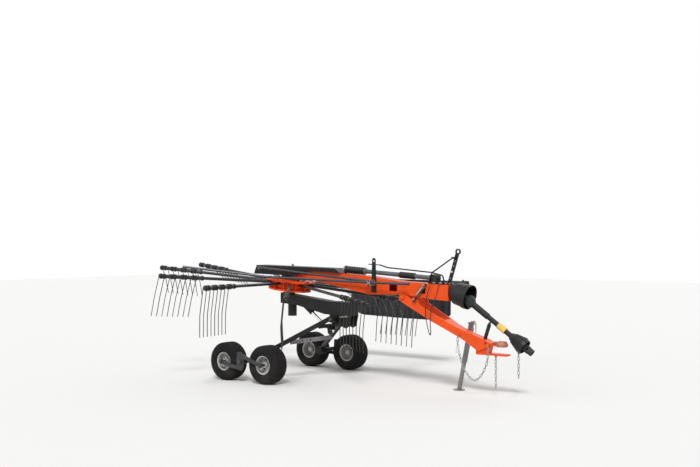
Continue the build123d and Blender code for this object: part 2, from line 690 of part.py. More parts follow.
def joint_ear(side, reach):
    """Ear of a cross joint: rounded about the joint's centre, reaching back along Z to its yoke's base."""
    plane = Plane(origin=(side * (EAR_FAR - EAR_THICK), 0, 0), x_dir=(0, 1, 0), z_dir=(1, 0, 0))
    outline = Circle(EAR_HALF) + Pos(0, reach / 2) * Rectangle(2 * EAR_HALF, abs(reach))
    return extrude(plane * outline, amount=side * EAR_THICK)


def make_input():
    """Input shaft with its yoke and the cross that the shaft's own yoke swings on."""
    back = -((SHAFT_X - GUARD_X) / cos(radians(GUARD_TILT))) + SEAT_GAP
    stub = Pos(0, 0, (back - 60) / 2) * Cylinder(INPUT_R, -60 - back)
    base = Pos(0, 0, -62) * Cylinder(EAR_FAR, 32)
    ears = [joint_ear(side, -50) for side in (-1, 1)]
    cross = Rot(90, 0, 0) * Cylinder(CROSS_R, 2 * EAR_FAR) + Rot(0, 90, 0) * Cylinder(CROSS_R, 2 * EAR_FAR)
    joint_place = Location((SHAFT_X, 0, SHAFT_Z), (0, 90 + GUARD_TILT, 0))
    front = block(GUARD_X, GUARD_X + 400, -300, 300, GUARD_Z - 400, GUARD_Z + 400)
    return joint_place * (base + [stub, cross] + ears) & front


def make_shaft_tube():
    bore = SHANK_R + SEAT_GAP
    return turned([
        (0, TUBE_START), (SHAFT_TUBE_R + 22, TUBE_START), (SHAFT_TUBE_R + 24, TUBE_START + 20),
        (SHAFT_TUBE_R + 4, TUBE_START + 84), (SHAFT_TUBE_R + 4, 400), (SHAFT_TUBE_R - 3, 404),
        (SHAFT_TUBE_R - 3, SHAFT_TUBE_END), (bore, SHAFT_TUBE_END), (bore, SHANK_START - 1), (0, SHANK_START - 1),
    ], shaft_frame)


def make_shaft_band():
    inner = SHAFT_TUBE_R - 3 + SEAT_GAP
    low = BAND_START
    high = BAND_START + BAND_LENGTH
    return turned([(inner, low), (SHAFT_TUBE_R + 4, low), (SHAFT_TUBE_R + 4, high), (inner, high)], shaft_frame)


def make_shaft_boot():
    points = [(SHAFT_TUBE_R - 3 + SEAT_GAP, BOOT_START), (SHAFT_TUBE_R + 8, BOOT_START)]
    height = BOOT_START + 34
    radius = SHAFT_TUBE_R + 22
    for rib in range(BOOT_RIBS):
        points += [(radius, height), (radius + 12, height + 12)]
        height += 26
        radius += 7
    points += [(radius, height), (radius - 8, height + 34), (radius - 14, height + 34),
               (radius - 14, height - 6), (SHAFT_TUBE_R + 6, BOOT_START + 60),
               (SHAFT_TUBE_R - 3 + SEAT_GAP, BOOT_START + 36)]
    return turned(points, shaft_frame) + staple(*GUARD_CHAIN[0], (12, 0, 26))


def make_rear_joint():
    """Shaft-side yoke of the cross joint inside the guard."""
    ears = [Rot(0, 0, 90) * joint_ear(side, JOINT_BASE + 4) for side in (-1, 1)]
    end = TUBE_START - SEAT_GAP
    base = Pos(0, 0, (JOINT_BASE + end) / 2) * Cylinder(EAR_FAR, end - JOINT_BASE)
    yoke = base + ears
    return shaft_frame * (yoke - Rot(90, 0, 0) * Cylinder(CROSS_R + SEAT_GAP, 2 * EAR_FAR + 2))


def make_yoke():
    """Tractor-end yoke with its splined bore, turning in the boot."""
    shank = Pos(0, 0, (SHANK_START + 900) / 2) * Cylinder(SHANK_R, 900 - SHANK_START)
    inner_base = Pos(0, 0, 900) * Cylinder(36, 24)
    inner_ears = [Pos(0, side * 30, 934) * Box(44, 14, 68) for side in (-1, 1)]
    cross = Pos(0, 0, 944) * (Rot(90, 0, 0) * Cylinder(11, 60) + Rot(0, 90, 0) * Cylinder(11, 60))
    outer_ears = [Pos(side * 30, 0, 958) * Box(14, 44, 72) for side in (-1, 1)]
    outer_base = Pos(0, 0, 1014) * Cylinder(38, 52)
    yoke = shank + [inner_base, cross, outer_base] + inner_ears + outer_ears
    bore = Pos(0, 0, SHAFT_LENGTH - 25) * Cylinder(YOKE_BORE_R, 52)
    return shaft_frame * (yoke - bore)


# Drawbar: a fork of two side plates that closes to a box towards the hitch
def make_drawbar():
    outer = FRAME_WIDTH / 2 + DRAWBAR_SIDE_GAP + DRAWBAR_PLATE
    front = DRAWBAR_FRONT_HALF
    plate = DRAWBAR_PLATE
    low = 300
    high = 1000

    def plan(rear_half, front_half):
        corners = [(DRAWBAR_REAR_X, -rear_half), (DRAWBAR_BEND_X, -rear_half), (DRAWBAR_NECK_X, -front_half),
                   (DRAWBAR_END_X, -front_half), (DRAWBAR_END_X, front_half), (DRAWBAR_NECK_X, front_half),
                   (DRAWBAR_BEND_X, rear_half), (DRAWBAR_REAR_X, rear_half)]
        face = make_face(Polyline(*[(x, y, low) for x, y in corners], close=True))
        return extrude(face, amount=high, dir=(0, 0, 1))

    bar = side_plate(DRAWBAR_OUTLINE, -outer, outer) & plan(outer, front)
    open_part = block(DRAWBAR_REAR_X, DRAWBAR_BOX_X, -outer, outer, low, low + high)
    fork = plan(outer - plate, front - plate) & open_part
    bar = bar - fork
    bar = bar - pin(DRAWBAR_X, DRAWBAR_Z, DRAWBAR_PIN_R + SEAT_GAP, -outer - 1, outer + 1)
    tie_side = outer + 6 + 2 * TIE_R + 4
    bar = bar + pin(TIE_LOW_X, TIE_LOW_Z, TIE_PIN_R, -tie_side, -outer + 1)
    return bar + [staple(*SAFETY_CHAIN[end], (0, 40, 0)) for end in (0, -1)]


def make_hitch(drawbar):
    half = HITCH_HALF
    plate = HITCH_PLATE
    nose = HITCH_X + HITCH_NOSE
    upper = block(2780, nose, -half, half, HITCH_UPPER_Z, HITCH_UPPER_Z + plate)
    lower = block(2705, nose + 24, -half, half, HITCH_LOWER_Z, HITCH_LOWER_Z + plate)
    web = side_plate([(2700, HITCH_LOWER_Z), (2700, 520), (2860, HITCH_UPPER_Z + 4), (2880, HITCH_UPPER_Z + 4),
                      (2850, HITCH_LOWER_Z + 4)], -half + 8, half - 8)
    hitch = upper + [lower, web, staple(*HITCH_CHAIN[0], (0, 0, 20))]
    hitch = hitch - rod((HITCH_X, 0, HITCH_LOWER_Z - 1), (HITCH_X, 0, HITCH_UPPER_Z + plate + 1), HITCH_PIN_R)
    return hitch - drawbar


def pin_travel():
    """How the tie's lower pin moves when the drawbar tilts all the way."""
    x = TIE_LOW_X - DRAWBAR_X
    z = TIE_LOW_Z - DRAWBAR_Z
    turn = radians(DRAWBAR_TILT)
    return Vector(x * cos(turn) + z * sin(turn) - x, 0, z * cos(turn) - x * sin(turn) - z)


# Height tie between front frame and drawbar, with a slotted lower end
def make_tie():
    y = -(FRAME_WIDTH / 2 + DRAWBAR_SIDE_GAP + DRAWBAR_PLATE + 8 + TIE_R)
    top = Vector(TIE_TOP_X, y, TIE_TOP_Z)
    low = Vector(TIE_LOW_X, y, TIE_LOW_Z)
    along = (low - top).normalized()

    def at(distance):
        point = top + along * distance
        return (point.X, point.Y, point.Z)

    length = (low - top).length
    body = rod(at(46), at(length - 52), TIE_R)
    screw = rod(at(14), at(length - 14), TIE_R * 0.6)
    top_eye = pin(TIE_TOP_X, TIE_TOP_Z, TIE_PIN_R * 2.1, y - 11, y + 11)
    travel = pin_travel()
    slot_plane = Plane(origin=low + travel / 2, x_dir=travel.normalized(), z_dir=(0, 1, 0))
    ring = extrude(slot_plane * SlotCenterToCenter(travel.length, TIE_PIN_R * 4.2), amount=9, both=True)
    slot = extrude(slot_plane * SlotCenterToCenter(travel.length, TIE_PIN_R * 2 + 2), amount=30, both=True)
    tie = body + [screw, top_eye, ring]
    return tie - slot - pin(TIE_TOP_X, TIE_TOP_Z, TIE_PIN_R + SEAT_GAP, y - 30, y + 30)


# Parking jack on the left of the drawbar
jack_frame = Location((JACK_X, JACK_Y, 0), (0, JACK_LEAN, 0))


def make_jack_sleeve(drawbar):
    start = JACK_TUBE_START
    end = JACK_TUBE_END
    middle = (start + end) / 2
    sleeve = Pos(0, 0, middle) * Box(JACK_TUBE, JACK_TUBE, end - start)
    sleeve = sleeve - Pos(0, 0, middle - 10) * Box(JACK_TUBE - 2 * JACK_WALL, JACK_TUBE - 2 * JACK_WALL, end - start)
    cap = Pos(0, 0, end + 6) * Box(JACK_TUBE + 16, JACK_TUBE + 16, 12)
    crank = Pos(0, JACK_TUBE / 2 + 26, end - 34) * Cylinder(7, 130)
    crank_arm = Pos(0, JACK_TUBE / 2 + 10, end + 24) * Box(16, JACK_TUBE + 24, 10)
    stem = Pos(0, 0, end + 16) * Cylinder(9, 20)
    body = jack_frame * (sleeve + [cap, stem, crank_arm, crank])
    x = JACK_X + sin(radians(JACK_LEAN)) * 640
    z = cos(radians(JACK_LEAN)) * 640
    bracket = block(x - 42, x + 42, 40, JACK_Y - JACK_TUBE / 2 + 3, z - 26, z + 26)
    return body + (bracket - drawbar)


def make_jack_leg():
    size = JACK_TUBE - 2 * JACK_WALL - 2 * SEAT_GAP
    length = JACK_LEG_END
    leg = jack_frame * (Pos(0, 0, length / 2) * Box(size, size, length))
    foot = Pos(JACK_X, JACK_Y, JACK_FOOT_THICK / 2) * Cylinder(JACK_FOOT_R, JACK_FOOT_THICK)
    above = block(JACK_X - 400, JACK_X + 400, -400, 800, 0, 1200)
    return (leg & above) + foot


# Prop that carries the shaft while the rake is parked
def make_prop(drawbar):
    bar = square_bar(PROP_LOW, PROP_TOP, 36, 12)
    return bar - drawbar


# Swath curtain and its telescopic carrier
def make_carrier_outer():
    half = CARRIER_TUBE / 2
    inside = half - CARRIER_WALL
    start = FRAME_WIDTH / 2
    tube = block(CARRIER_X - half, CARRIER_X + half, start, CARRIER_END_Y, CARRIER_Z - half, CARRIER_Z + half)
    return tube - block(CARRIER_X - inside, CARRIER_X + inside, start + 30, CARRIER_END_Y + 1,
                        CARRIER_Z - inside, CARRIER_Z + inside)


def make_carrier_inner():
    half = CARRIER_TUBE / 2 - CARRIER_WALL - SEAT_GAP
    start = CARRIER_END_Y - CARRIER_OVERLAP
    return block(CARRIER_X - half, CARRIER_X + half, start, CURTAIN_Y - RAIL_SIZE / 2,
                 CARRIER_Z - half, CARRIER_Z + half)


def make_rail():
    half = RAIL_SIZE / 2
    rear_x = CURTAIN_OUTLINE[0][0]
    return block(rear_x, CARRIER_X + CARRIER_TUBE / 2, CURTAIN_Y - half, CURTAIN_Y + half,
                 CARRIER_Z - half, CARRIER_Z + half)


def make_curtain():
    return side_plate(CURTAIN_OUTLINE, CURTAIN_Y - CURTAIN_THICK / 2, CURTAIN_Y + CURTAIN_THICK / 2)


# Post and clamp that hold the stowed bars, and the mast over the hitch
def make_post():
    y = -FRAME_WIDTH / 2
    half = POST_WIDTH / 2
    outline = [(POST_X - half, POST_LOW_Z), (POST_X + half, POST_LOW_Z), (POST_X + half - 10, POST_TOP_Z - 16),
               (POST_X + half - 24, POST_TOP_Z), (POST_X - half + 24, POST_TOP_Z),
               (POST_X - half + 10, POST_TOP_Z - 16)]
    post = side_plate(outline, y - POST_THICK, y)
    return post - pin(POST_X, POST_TOP_Z - 36, POST_HOLE_R, y - POST_THICK - 1, y + 1)


def make_bar_clamp():
    y = -FRAME_WIDTH / 2 - POST_THICK
    jaw = block(POST_X - 22, POST_X + 22, y - 104, y, 1160, 1228)
    return jaw - [make_long_bar(BAR_R + SEAT_GAP), make_short_bar(BAR_R + SEAT_GAP)]


def make_long_bar(radius):
    return bent_rod(LONG_BAR, radius, 120)


def make_short_bar(radius):
    return rod(SHORT_BAR[0], SHORT_BAR[1], radius)


def make_mast():
    base = (MAST_X, 0, MAST_FOOT_Z - 10)
    top = (MAST_TOP_X, 0, MAST_TOP_Z)
    bar = square_bar(base, top, MAST_WIDTH, MAST_DEPTH)
    foot = block(MAST_X - 45, MAST_X + 45, -40, 40, MAST_FOOT_Z - 10, MAST_FOOT_Z + 10)
    ring = pin(MAST_TOP_X + 10, MAST_TOP_Z + 26, MAST_LOOP_R, -8, 8)
    ring = ring - pin(MAST_TOP_X + 10, MAST_TOP_Z + 26, MAST_LOOP_R - 14, -9, 9)
    frame_top = side_plate(FRAME_OUTLINE, -FRAME_WIDTH, FRAME_WIDTH)
    return (bar + [ring, foot]) - frame_top


def make_stay():
    points = ((2400, -26, 1492), (2150, -60, 1322), (2108, -60, 1195))
    stay = bent_rod(points, STAY_R, 40)
    return stay - side_plate(FRAME_OUTLINE, -FRAME_WIDTH, FRAME_WIDTH)


def make_long_rod():
    points = ((1378, 20, 1398), (1486, 24, 1368), (2056, 66, 1322), (2212, 70, 1290), (2240, 70, 1190))
    return bent_rod(points, STAY_R, 30) - side_plate(FRAME_OUTLINE, -FRAME_WIDTH, FRAME_WIDTH)


# Hydraulic hose and the block that both its ends screw into
def make_hose_block():
    front_x, _, port_z = HOSE_ROUTE[0]
    rear_x = HOSE_ROUTE[-1][0]
    body = block(rear_x - HOSE_BLOCK_MARGIN, front_x + HOSE_BLOCK_MARGIN, HOSE_FACE_Y,
                 HOSE_FACE_Y + HOSE_BLOCK_DEEP, HOSE_BLOCK_LOW_Z, port_z + HOSE_BLOCK_MARGIN)
    return body - side_plate(FRAME_OUTLINE, -FRAME_WIDTH, FRAME_WIDTH)


def corner_radii(route):
    """Largest bend at each corner that still leaves a straight stretch on both of its runs."""
    points = [Vector(*point) for point in route]
    radii = []
    for before, corner, after in zip(points, points[1:], points[2:]):
        shorter = min((corner - before).length, (after - corner).length)
        turn = (corner - before).get_angle(after - corner)
        radii.append(0.45 * shorter / tan(radians(turn / 2)))
    return radii


def make_hose():
    radii = corner_radii(HOSE_ROUTE)
    print("hose bends", [round(radius) for radius in radii])
    start = Vector(*HOSE_ROUTE[0])
    path = FilletPolyline(*HOSE_ROUTE, radius=radii)
    print("hose length", round(path.length))
    section = Plane(origin=start, z_dir=Vector(*HOSE_ROUTE[1]) - start) * Circle(HOSE_R)
    hose = sweep(section, path=path)
    print("hose volume against section times length", round(hose.volume / (section.area * path.length), 4))
    return hose


# Chains
def staple(x, y, z, reach):
    """Bent eye with its bottom along X, its two legs going on by the reach (x, y, z)."""
    half = STAPLE_HALF
    legs = [(x + end * half + reach[0], y + reach[1], z + reach[2]) for end in (-1, 1)]
    corners = [(x + end * half, y, z) for end in (-1, 1)]
    return bent_rod((legs[0], corners[0], corners[1], legs[1]), STAPLE_R, STAPLE_R * 1.6)


def make_chain(route, both_ends=False):
    """Chain on a staple at the route's start, and on another at its end if both ends are held."""
    path = Spline(*route) if len(route) > 2 else Line(*route)
    slack = LINK_PITCH / 2 + SEAT_GAP
    tuck = STAPLE_R + SEAT_GAP
    count = int(path.length / LINK_PITCH)
    pitch = LINK_PITCH
    if both_ends:
        count += 1 - count % 2
        pitch = (path.length + 2 * tuck - 2 * SEAT_GAP) / count
        slack = pitch / 2 + SEAT_GAP
    wire = LINK_WIRE
    length = 2 * (slack + wire)
    solid = Box(length, LINK_WIDTH, wire)
    solid = chamfer(solid.edges().filter_by(Axis.Z), wire)
    solid = solid - Box(length - 2 * wire, LINK_WIDTH - 2 * wire, wire + 2)
    links = []
    for index in range(count):
        share = (slack - tuck + index * pitch) / path.length
        point = path.position_at(share)
        along = path.tangent_at(share)
        plane = Plane(origin=point, x_dir=along, z_dir=along.cross(Vector(0, 1, 0)))
        links.append(plane.location * Rot(90 * (index % 2), 0, 0) * solid)
    return links


drum = make_drum()
arm_tubes, tine_carriers = make_arms()
chassis = make_chassis()
swing = make_swing()
beam = make_beam()
drive_tube = make_drive_tube()
barrel, piston_rod = make_cylinder()
bogie = make_bogie()
drawbar = make_drawbar()

keep("rotor_drum", drum)
keep("arm_tubes", arm_tubes)
keep("tine_carriers", tine_carriers)
keep("chassis_beam", chassis)
keep("rotor_axle", make_rotor_axle(chassis))
keep("swing_frame", swing)
keep("cross_plate", make_cross_plate(swing))
keep("lift_barrel", barrel)
keep("lift_rod", piston_rod)
keep("bogie_left", bogie)
keep("bogie_right", mirrored(bogie))
tyre = make_tyre()
rim = make_rim()
wheel_places = (("front", BOGIE_X + WHEEL_BASE / 2), ("rear", BOGIE_X - WHEEL_BASE / 2))
for end, x in wheel_places:
    for side, y in (("left", WHEEL_TRACK / 2), ("right", -WHEEL_TRACK / 2)):
        facing = Location((x, y, TYRE_R), (0, 0, 0 if y > 0 else 180))
        keep(f"tyre_{end}_{side}", facing * tyre)
        keep(f"rim_{end}_{side}", facing * rim)
keep("main_beam", beam)
keep("front_frame", make_frame())
keep("gearbox", make_gearbox(beam))
keep("gearbox_cover", make_cover(beam))
keep("drive_bellows", make_bellows())
keep("drive_tube", drive_tube)
keep("front_bearing", make_front_bearing(drive_tube))
keep("shaft_guard", make_guard())
keep("input_shaft", make_input())
keep("shaft_tube", make_shaft_tube())
keep("shaft_band", make_shaft_band())
keep("shaft_boot", make_shaft_boot())
keep("shaft_joint", make_rear_joint())
keep("shaft_yoke", make_yoke())
keep("drawbar", drawbar)
keep("hitch_clevis", make_hitch(drawbar))
keep("height_tie", make_tie())
keep("jack_sleeve", make_jack_sleeve(drawbar))
keep("jack_leg", make_jack_leg())
keep("shaft_prop", make_prop(drawbar))
keep("curtain_carrier", make_carrier_outer())
keep("curtain_slide", make_carrier_inner())
keep("curtain_rail", make_rail())
keep("swath_curtain", make_curtain())
keep("rack_post", make_post())
keep("bar_clamp", make_bar_clamp())
keep("long_bar", make_long_bar(BAR_R))
keep("short_bar", make_short_bar(BAR_R))
keep("mast", make_mast())
keep("mast_stay", make_stay())
keep("hose_rail", make_long_rod())
keep("hose_block", make_hose_block())
keep("hydraulic_hose", make_hose())
keep("safety_chain", make_chain(SAFETY_CHAIN, both_ends=True))
keep("hitch_chain", make_chain(HITCH_CHAIN))
keep("guard_chain", make_chain(GUARD_CHAIN))

os.makedirs("parts", exist_ok=True)
for name, shape in nodes.items():
    export_step(shape, f"parts/{name}.step")
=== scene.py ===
import json
import math

import bmesh
import bpy
import numpy
from mathutils import Euler, Matrix, Vector


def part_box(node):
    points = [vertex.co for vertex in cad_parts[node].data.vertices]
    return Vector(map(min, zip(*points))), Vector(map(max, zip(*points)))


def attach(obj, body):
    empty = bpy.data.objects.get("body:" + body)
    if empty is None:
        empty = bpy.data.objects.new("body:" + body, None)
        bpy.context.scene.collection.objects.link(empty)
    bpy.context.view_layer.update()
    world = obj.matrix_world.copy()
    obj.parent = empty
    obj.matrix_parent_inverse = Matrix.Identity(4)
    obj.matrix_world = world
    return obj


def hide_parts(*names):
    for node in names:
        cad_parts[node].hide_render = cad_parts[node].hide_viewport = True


bl_info = {
    "name": "Rotary rake dresser",
    "version": (1, 0, 0),
    "blender": (4, 5, 0),
    "location": "3D View > Sidebar > Rake",
    "description": "Finishes a trailed single-rotor hay rake: tyres, tines, chains, curtain, bolts and paint",
    "category": "Object",
}

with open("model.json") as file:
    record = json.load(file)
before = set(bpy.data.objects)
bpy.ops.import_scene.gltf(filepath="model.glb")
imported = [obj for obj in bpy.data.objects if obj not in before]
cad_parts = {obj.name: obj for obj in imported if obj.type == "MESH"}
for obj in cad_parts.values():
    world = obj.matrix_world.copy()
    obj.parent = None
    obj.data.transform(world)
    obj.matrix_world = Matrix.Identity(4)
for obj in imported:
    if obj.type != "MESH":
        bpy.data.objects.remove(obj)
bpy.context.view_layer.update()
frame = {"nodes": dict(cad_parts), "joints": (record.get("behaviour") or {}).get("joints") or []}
ROTOR_AT = Vector(next(joint["pos_m"] for joint in frame["joints"] if joint["name"] == "rotor_spin"))

# Camera that the photograph was taken with, in metres from the rotor's axis, and degrees
CAMERA_PLACE = (7.93, -9.21, 1.673)
CAMERA_AZIMUTH = 37.16
CAMERA_PITCH = 0.484
CAMERA_LENS = 49.3
CAMERA_CLIP_END = 200.0
SENSOR_WIDTH = 36.0

# Studio: floor, lamps with columns name, place, angle in degrees and power, and where the lamps point
FLOOR_HALF = 30
FLOOR_COLOUR = (0.80, 0.80, 0.79, 1)
FLOOR_ROUGHNESS = 0.9
LAMPS = (
    ("key", (5.0, -7.0, 9.0), 14.0, 2.4),
    ("fill", (-6.0, -6.5, 6.0), 50.0, 0.50),
    ("back", (-1.0, 7.0, 7.0), 50.0, 0.50),
)
LAMP_AIM = (0, 0, 0.7)
WORLD_COLOUR = (1, 1, 1, 1)
WORLD_LIGHT = 0.42
WORLD_SEEN = 1.0

# Angles in degrees above which an edge is drawn sharp, on small pieces and on tyres and plain nodes
SHARP_ANGLE = 34
NODE_SHARP_ANGLE = 30
# Angle in degrees above which an edge is rounded
ROUNDED_ANGLE = 40

# Rotor, in metres and degrees, as the construction has it; the chamfers lie at the sleeve's inner and
# outer end, columns inwards and along, and the points of a tine are shares of the way to its knee and end
ARM_COUNT = 11
FIRST_ARM_ANGLE = 18.0
ROTOR_NOSE_DOWN = 6.9
ROTOR_LEAN = 0.75
ARM_RISE = 0.025
ARM_REACH = 1.700
CARRIER_LENGTH = 0.560
CARRIER_R = 0.024
SLEEVE_CHAMFERS = ((0.004, 0.003), (0.005, 0.006))
COLLAR_R = 0.030
COLLAR_SPAN = (0.012, 0.034)
TINE_PAIRS = 4
TINE_SPACING = 0.066
TINE_END_GAP = 0.015
TINE_DROP = 0.560
TINE_KNEE = 0.308
TINE_SWEEP = 0.002
TINE_FORWARD = 0.038
TINE_BEND = 1.12
KNEE_POINTS = (0.25, 0.6, 0.86, 1.0)
END_POINTS = (0.15, 0.5, 1.0)
COIL_R = 0.0287
COIL_LENGTH = 0.023
COIL_STEPS = 12
CLAMP_SIZE = 0.044
CLAMP_WIDTH = 0.016
CLAMP_BEVEL = 0.005
CLAMP_BOLT_SHARE = 0.72
CLAMP_BOLT_HEIGHT = 0.009
CLAMP_BOLT_SINK = 0.001
TINE_LIFT = (0, 0, 2, 24, 50, 68, 70, 68, 48, 4, 0)

# Facets round a section, and steps round the end of a link
TINE_FACETS = 6
LINK_FACETS = 7
LINK_STEPS = 6
ROD_FACETS = 12
SLEEVE_FACETS = 20
EYE_FACETS = 40
RIM_FACETS = 64
TYRE_FACETS = 72

# Chains, columns node and body, and half sizes of a link
CHAINS = (("safety_chain", "drawbar"), ("hitch_chain", "drawbar"), ("guard_chain", "pto_shaft"))
LINK_HALF_LENGTH = 0.0225
LINK_HALF_WIDTH = 0.010

# Hydraulic hose, columns x, y and z, as the construction has it
HOSE_DIAMETER = 0.010
HOSE_ROUTE = (
    (2.292, -0.088, 1.212), (2.292, -0.154, 1.212), (2.312, -0.190, 1.146), (2.290, -0.222, 1.032),
    (2.246, -0.230, 0.928), (2.231, -0.228, 0.788), (2.242, -0.222, 0.642), (2.166, -0.136, 0.628),
    (2.128, -0.139, 0.770), (2.112, -0.141, 0.900), (2.140, -0.160, 1.032), (2.196, -0.196, 1.150),
    (2.206, -0.154, 1.212), (2.206, -0.088, 1.212),
)
# Union nut and crimped sleeve at each end: facets, and profile of (radius, distance from the block)
HOSE_FERRULE = (
    (6, ((0.0105, 0.001), (0.0105, 0.013), (0.0085, 0.015))),
    (20, ((0.0078, 0.015), (0.0078, 0.038), (0.0062, 0.041))),
)

# Curtain: its sheet's outline below the rail, columns x and z
CURTAIN_LOWER = ((-0.380, 0.800), (-0.310, 0.672), (-0.150, 0.634), (0.400, 0.618), (1.100, 0.612),
                 (1.225, 0.640), (1.280, 0.700))
CURTAIN_TOP = 1.112
CURTAIN_Y = 1.790
CURTAIN_THICKNESS = 0.005
CURTAIN_COLUMNS = 240
CURTAIN_ROWS = 12
FOLD_GROWTH = 0.8

# Wheels, columns name, side and sign of y
WHEELS = (("front_left", "left", 1), ("rear_left", "left", 1),
          ("front_right", "right", -1), ("rear_right", "right", -1))
TYRE_BEAD_R = 0.104
TYRE_INSET = 0.0005
# Tyre section in shares of the half width and of the height from the rim, columns across and up
TYRE_SECTION = ((0.76, 0.00), (0.84, 0.05), (0.90, 0.16), (0.965, 0.32), (1.00, 0.50), (0.985, 0.66),
                (0.93, 0.80), (0.86, 0.885), (0.76, 0.935))
# Ribs on the tread: shares of the half width from and to, the crown's drop, the groove's edge and its floor
TREAD_RIBS = ((0.66, 0.43), (0.36, 0.13))
CROWN_DROP = 0.004
GROOVE_EDGE = 0.035
GROOVE_FLOOR = 0.16
# Shoulder lug, columns share of the half width, metres added to it and height over the outer radius
LUG_SECTION = ((0.70, 0, -0.013), (0.93, 0, -0.036), (0.93, 0.002, -0.026), (0.86, 0, -0.011),
               (0.70, 0, -0.0015))
LUG_WIDTH = 0.0085
LUG_SLANT = 0.12
LUG_BEVEL = 0.0012

RIGHT = (0, -1, 0)
UP = (0, 0, 1)
# Bolt head on its washer: facets, and profile with columns share of the radius and share of the height
HEAD_PARTS = (
    (16, ((1.22, 0.0), (1.22, 0.22))),
    (6, ((1.0, 0.22), (1.0, 0.88), (0.84, 1.0))),
)
HEAD_HEIGHT_SHARE = 0.58
# Hexagon heads that lie on both sides, columns body, finish, x, y, z in metres and size across the flats
SIDE_BOLTS = (
    ("frame", "orange", 1.785, 0.117, 1.034, 0.036),
    ("frame", "black", 0.162, 0.110, 1.324, 0.014),
    ("frame", "black", 0.572, 0.110, 1.324, 0.014),
    ("lift_frame", "steel", 0.790, 0.175, 0.735, 0.034),
    ("lift_rod", "steel", 0.665, 0.044, 0.580, 0.022),
    ("lift_frame", "steel", 0.030, 0.952, 0.250, 0.034),
    ("drawbar", "steel", 2.830, 0.058, 0.575, 0.018),
)
# Heads on one side or on top, columns body, finish, way, size and places
PLAIN_BOLTS = (
    ("frame", "black", RIGHT, 0.016, ((1.378, -0.215, 1.170), (1.378, -0.215, 1.216))),
    ("frame", "zinc", RIGHT, 0.018, ((2.100, -0.151, 1.186),)),
    ("drawbar", "zinc", RIGHT, 0.018, ((1.962, -0.151, 1.022),)),
    ("frame", "zinc", UP, 0.020,
     ((2.305, 0.028, 1.201), (2.365, 0.028, 1.201), (2.305, -0.028, 1.201), (2.365, -0.028, 1.201))),
    ("drawbar", "steel", UP, 0.018, ((2.930, 0.028, 0.565), (2.930, -0.028, 0.565))),
    ("curtain", "black", UP, 0.024, ((1.520, 1.700, 1.157),)),
    ("frame", "zinc", RIGHT, 0.011, ((2.361, -0.010, 1.262), (2.404, -0.010, 1.400), (2.422, -0.010, 1.456))),
)
# Row of heads along the curtain
CURTAIN_BOLTS = 9
CURTAIN_BOLT_START = (-0.34, 1.810, 1.132)
CURTAIN_BOLT_RUN = 1.60
CURTAIN_BOLT_SIZE = 0.014
# Nut on each axle and ring of heads on each rim
AXLE_NUT_Y = 0.942
AXLE_NUT_SIZE = 0.026
RIM_BOLTS = 5
RIM_BOLT_CIRCLE = 0.060
RIM_BOLT_OUT = 0.022
RIM_BOLT_SIZE = 0.016
RIM_BOLT_TURN = 0.3
# Rings of heads square to the rotor, columns body, finish, count, radius, height and size
RING_BOLTS = (
    ("rotor", "orange", ARM_COUNT, 0.285, 0.0655, 0.019),
    ("rotor", "orange", 2 * ARM_COUNT, 0.175, 0.066, 0.017),
    ("frame", "black", 8, 0.109, 0.094, 0.020),
)

# Turned fittings, columns name, body, slot, finish, facets, start, way and profiles of (radius, distance)
FITTINGS = (
    ("bellows_bands", "frame", "zinc", "zinc", 32, (0.884, 0, 1.337), (1.226, 0, -0.075),
     (((0.048, -0.004), (0.048, 0.012)), ((0.0385, 0.291), (0.0385, 0.304)))),
    ("bearing_cap", "frame", "cast_grey", "cast", 32, (2.200, 0, 1.2625), (1, 0, -0.06),
     (((0.036, -0.010), (0.036, 0.006), (0.030, 0.012)), ((0.014, 0.010), (0.014, 0.026)))),
    ("cylinder_gland", "lift_barrel", "black_paint", "black", 32, (0.130, 0, 0.962), (0.535, 0, -0.382),
     (((0.0365, 0.262), (0.0365, 0.284), (0.029, 0.2895)),)),
    ("jack_collar", "drawbar", "zinc", "jack", 32, (2.372, 0.160, 0), (0.2079, 0, 0.9781),
     (((0.026, 0.768), (0.027, 0.772), (0.027, 0.782), (0.020, 0.788)), ((0.028, 0.3285), (0.028, 0.338)))),
    ("drive_sleeve", "frame", "black_plastic", "plastic", 32, (0.884, 0, 1.337), (1.226, 0, -0.075),
     (((0.034, 0.795), (0.037, 0.800), (0.037, 1.000), (0.034, 1.005)),)),
    ("joint_bell", "pto_shaft", "black_plastic", "bell", 32, (2.500, 0, 1.084), (0.8241, 0, -0.5664),
     (((0.050, 0.086), (0.066, 0.090), (0.071, 0.104), (0.071, 0.120), (0.065, 0.126), (0.069, 0.133),
       (0.061, 0.148), (0.064, 0.155), (0.050, 0.172), (0.037, 0.188)),)),
    ("mast_knob", "frame", "orange_paint", "red", 32, (2.384, -0.010, 1.336), RIGHT,
     (((0.015, 0.000), (0.015, 0.010)),)),
    ("mast_knob_cap", "frame", "zinc", "tag", 32, (2.384, -0.010, 1.336), RIGHT,
     (((0.0095, 0.010), (0.0095, 0.014), (0.007, 0.016)),)),
    ("jack_knob", "drawbar", "orange_paint", "red", 20, (2.372, 0.208, 0), (0.2079, 0, 0.9781),
     (((0.010, 0.660), (0.015, 0.664), (0.015, 0.716), (0.009, 0.722)),)),
)
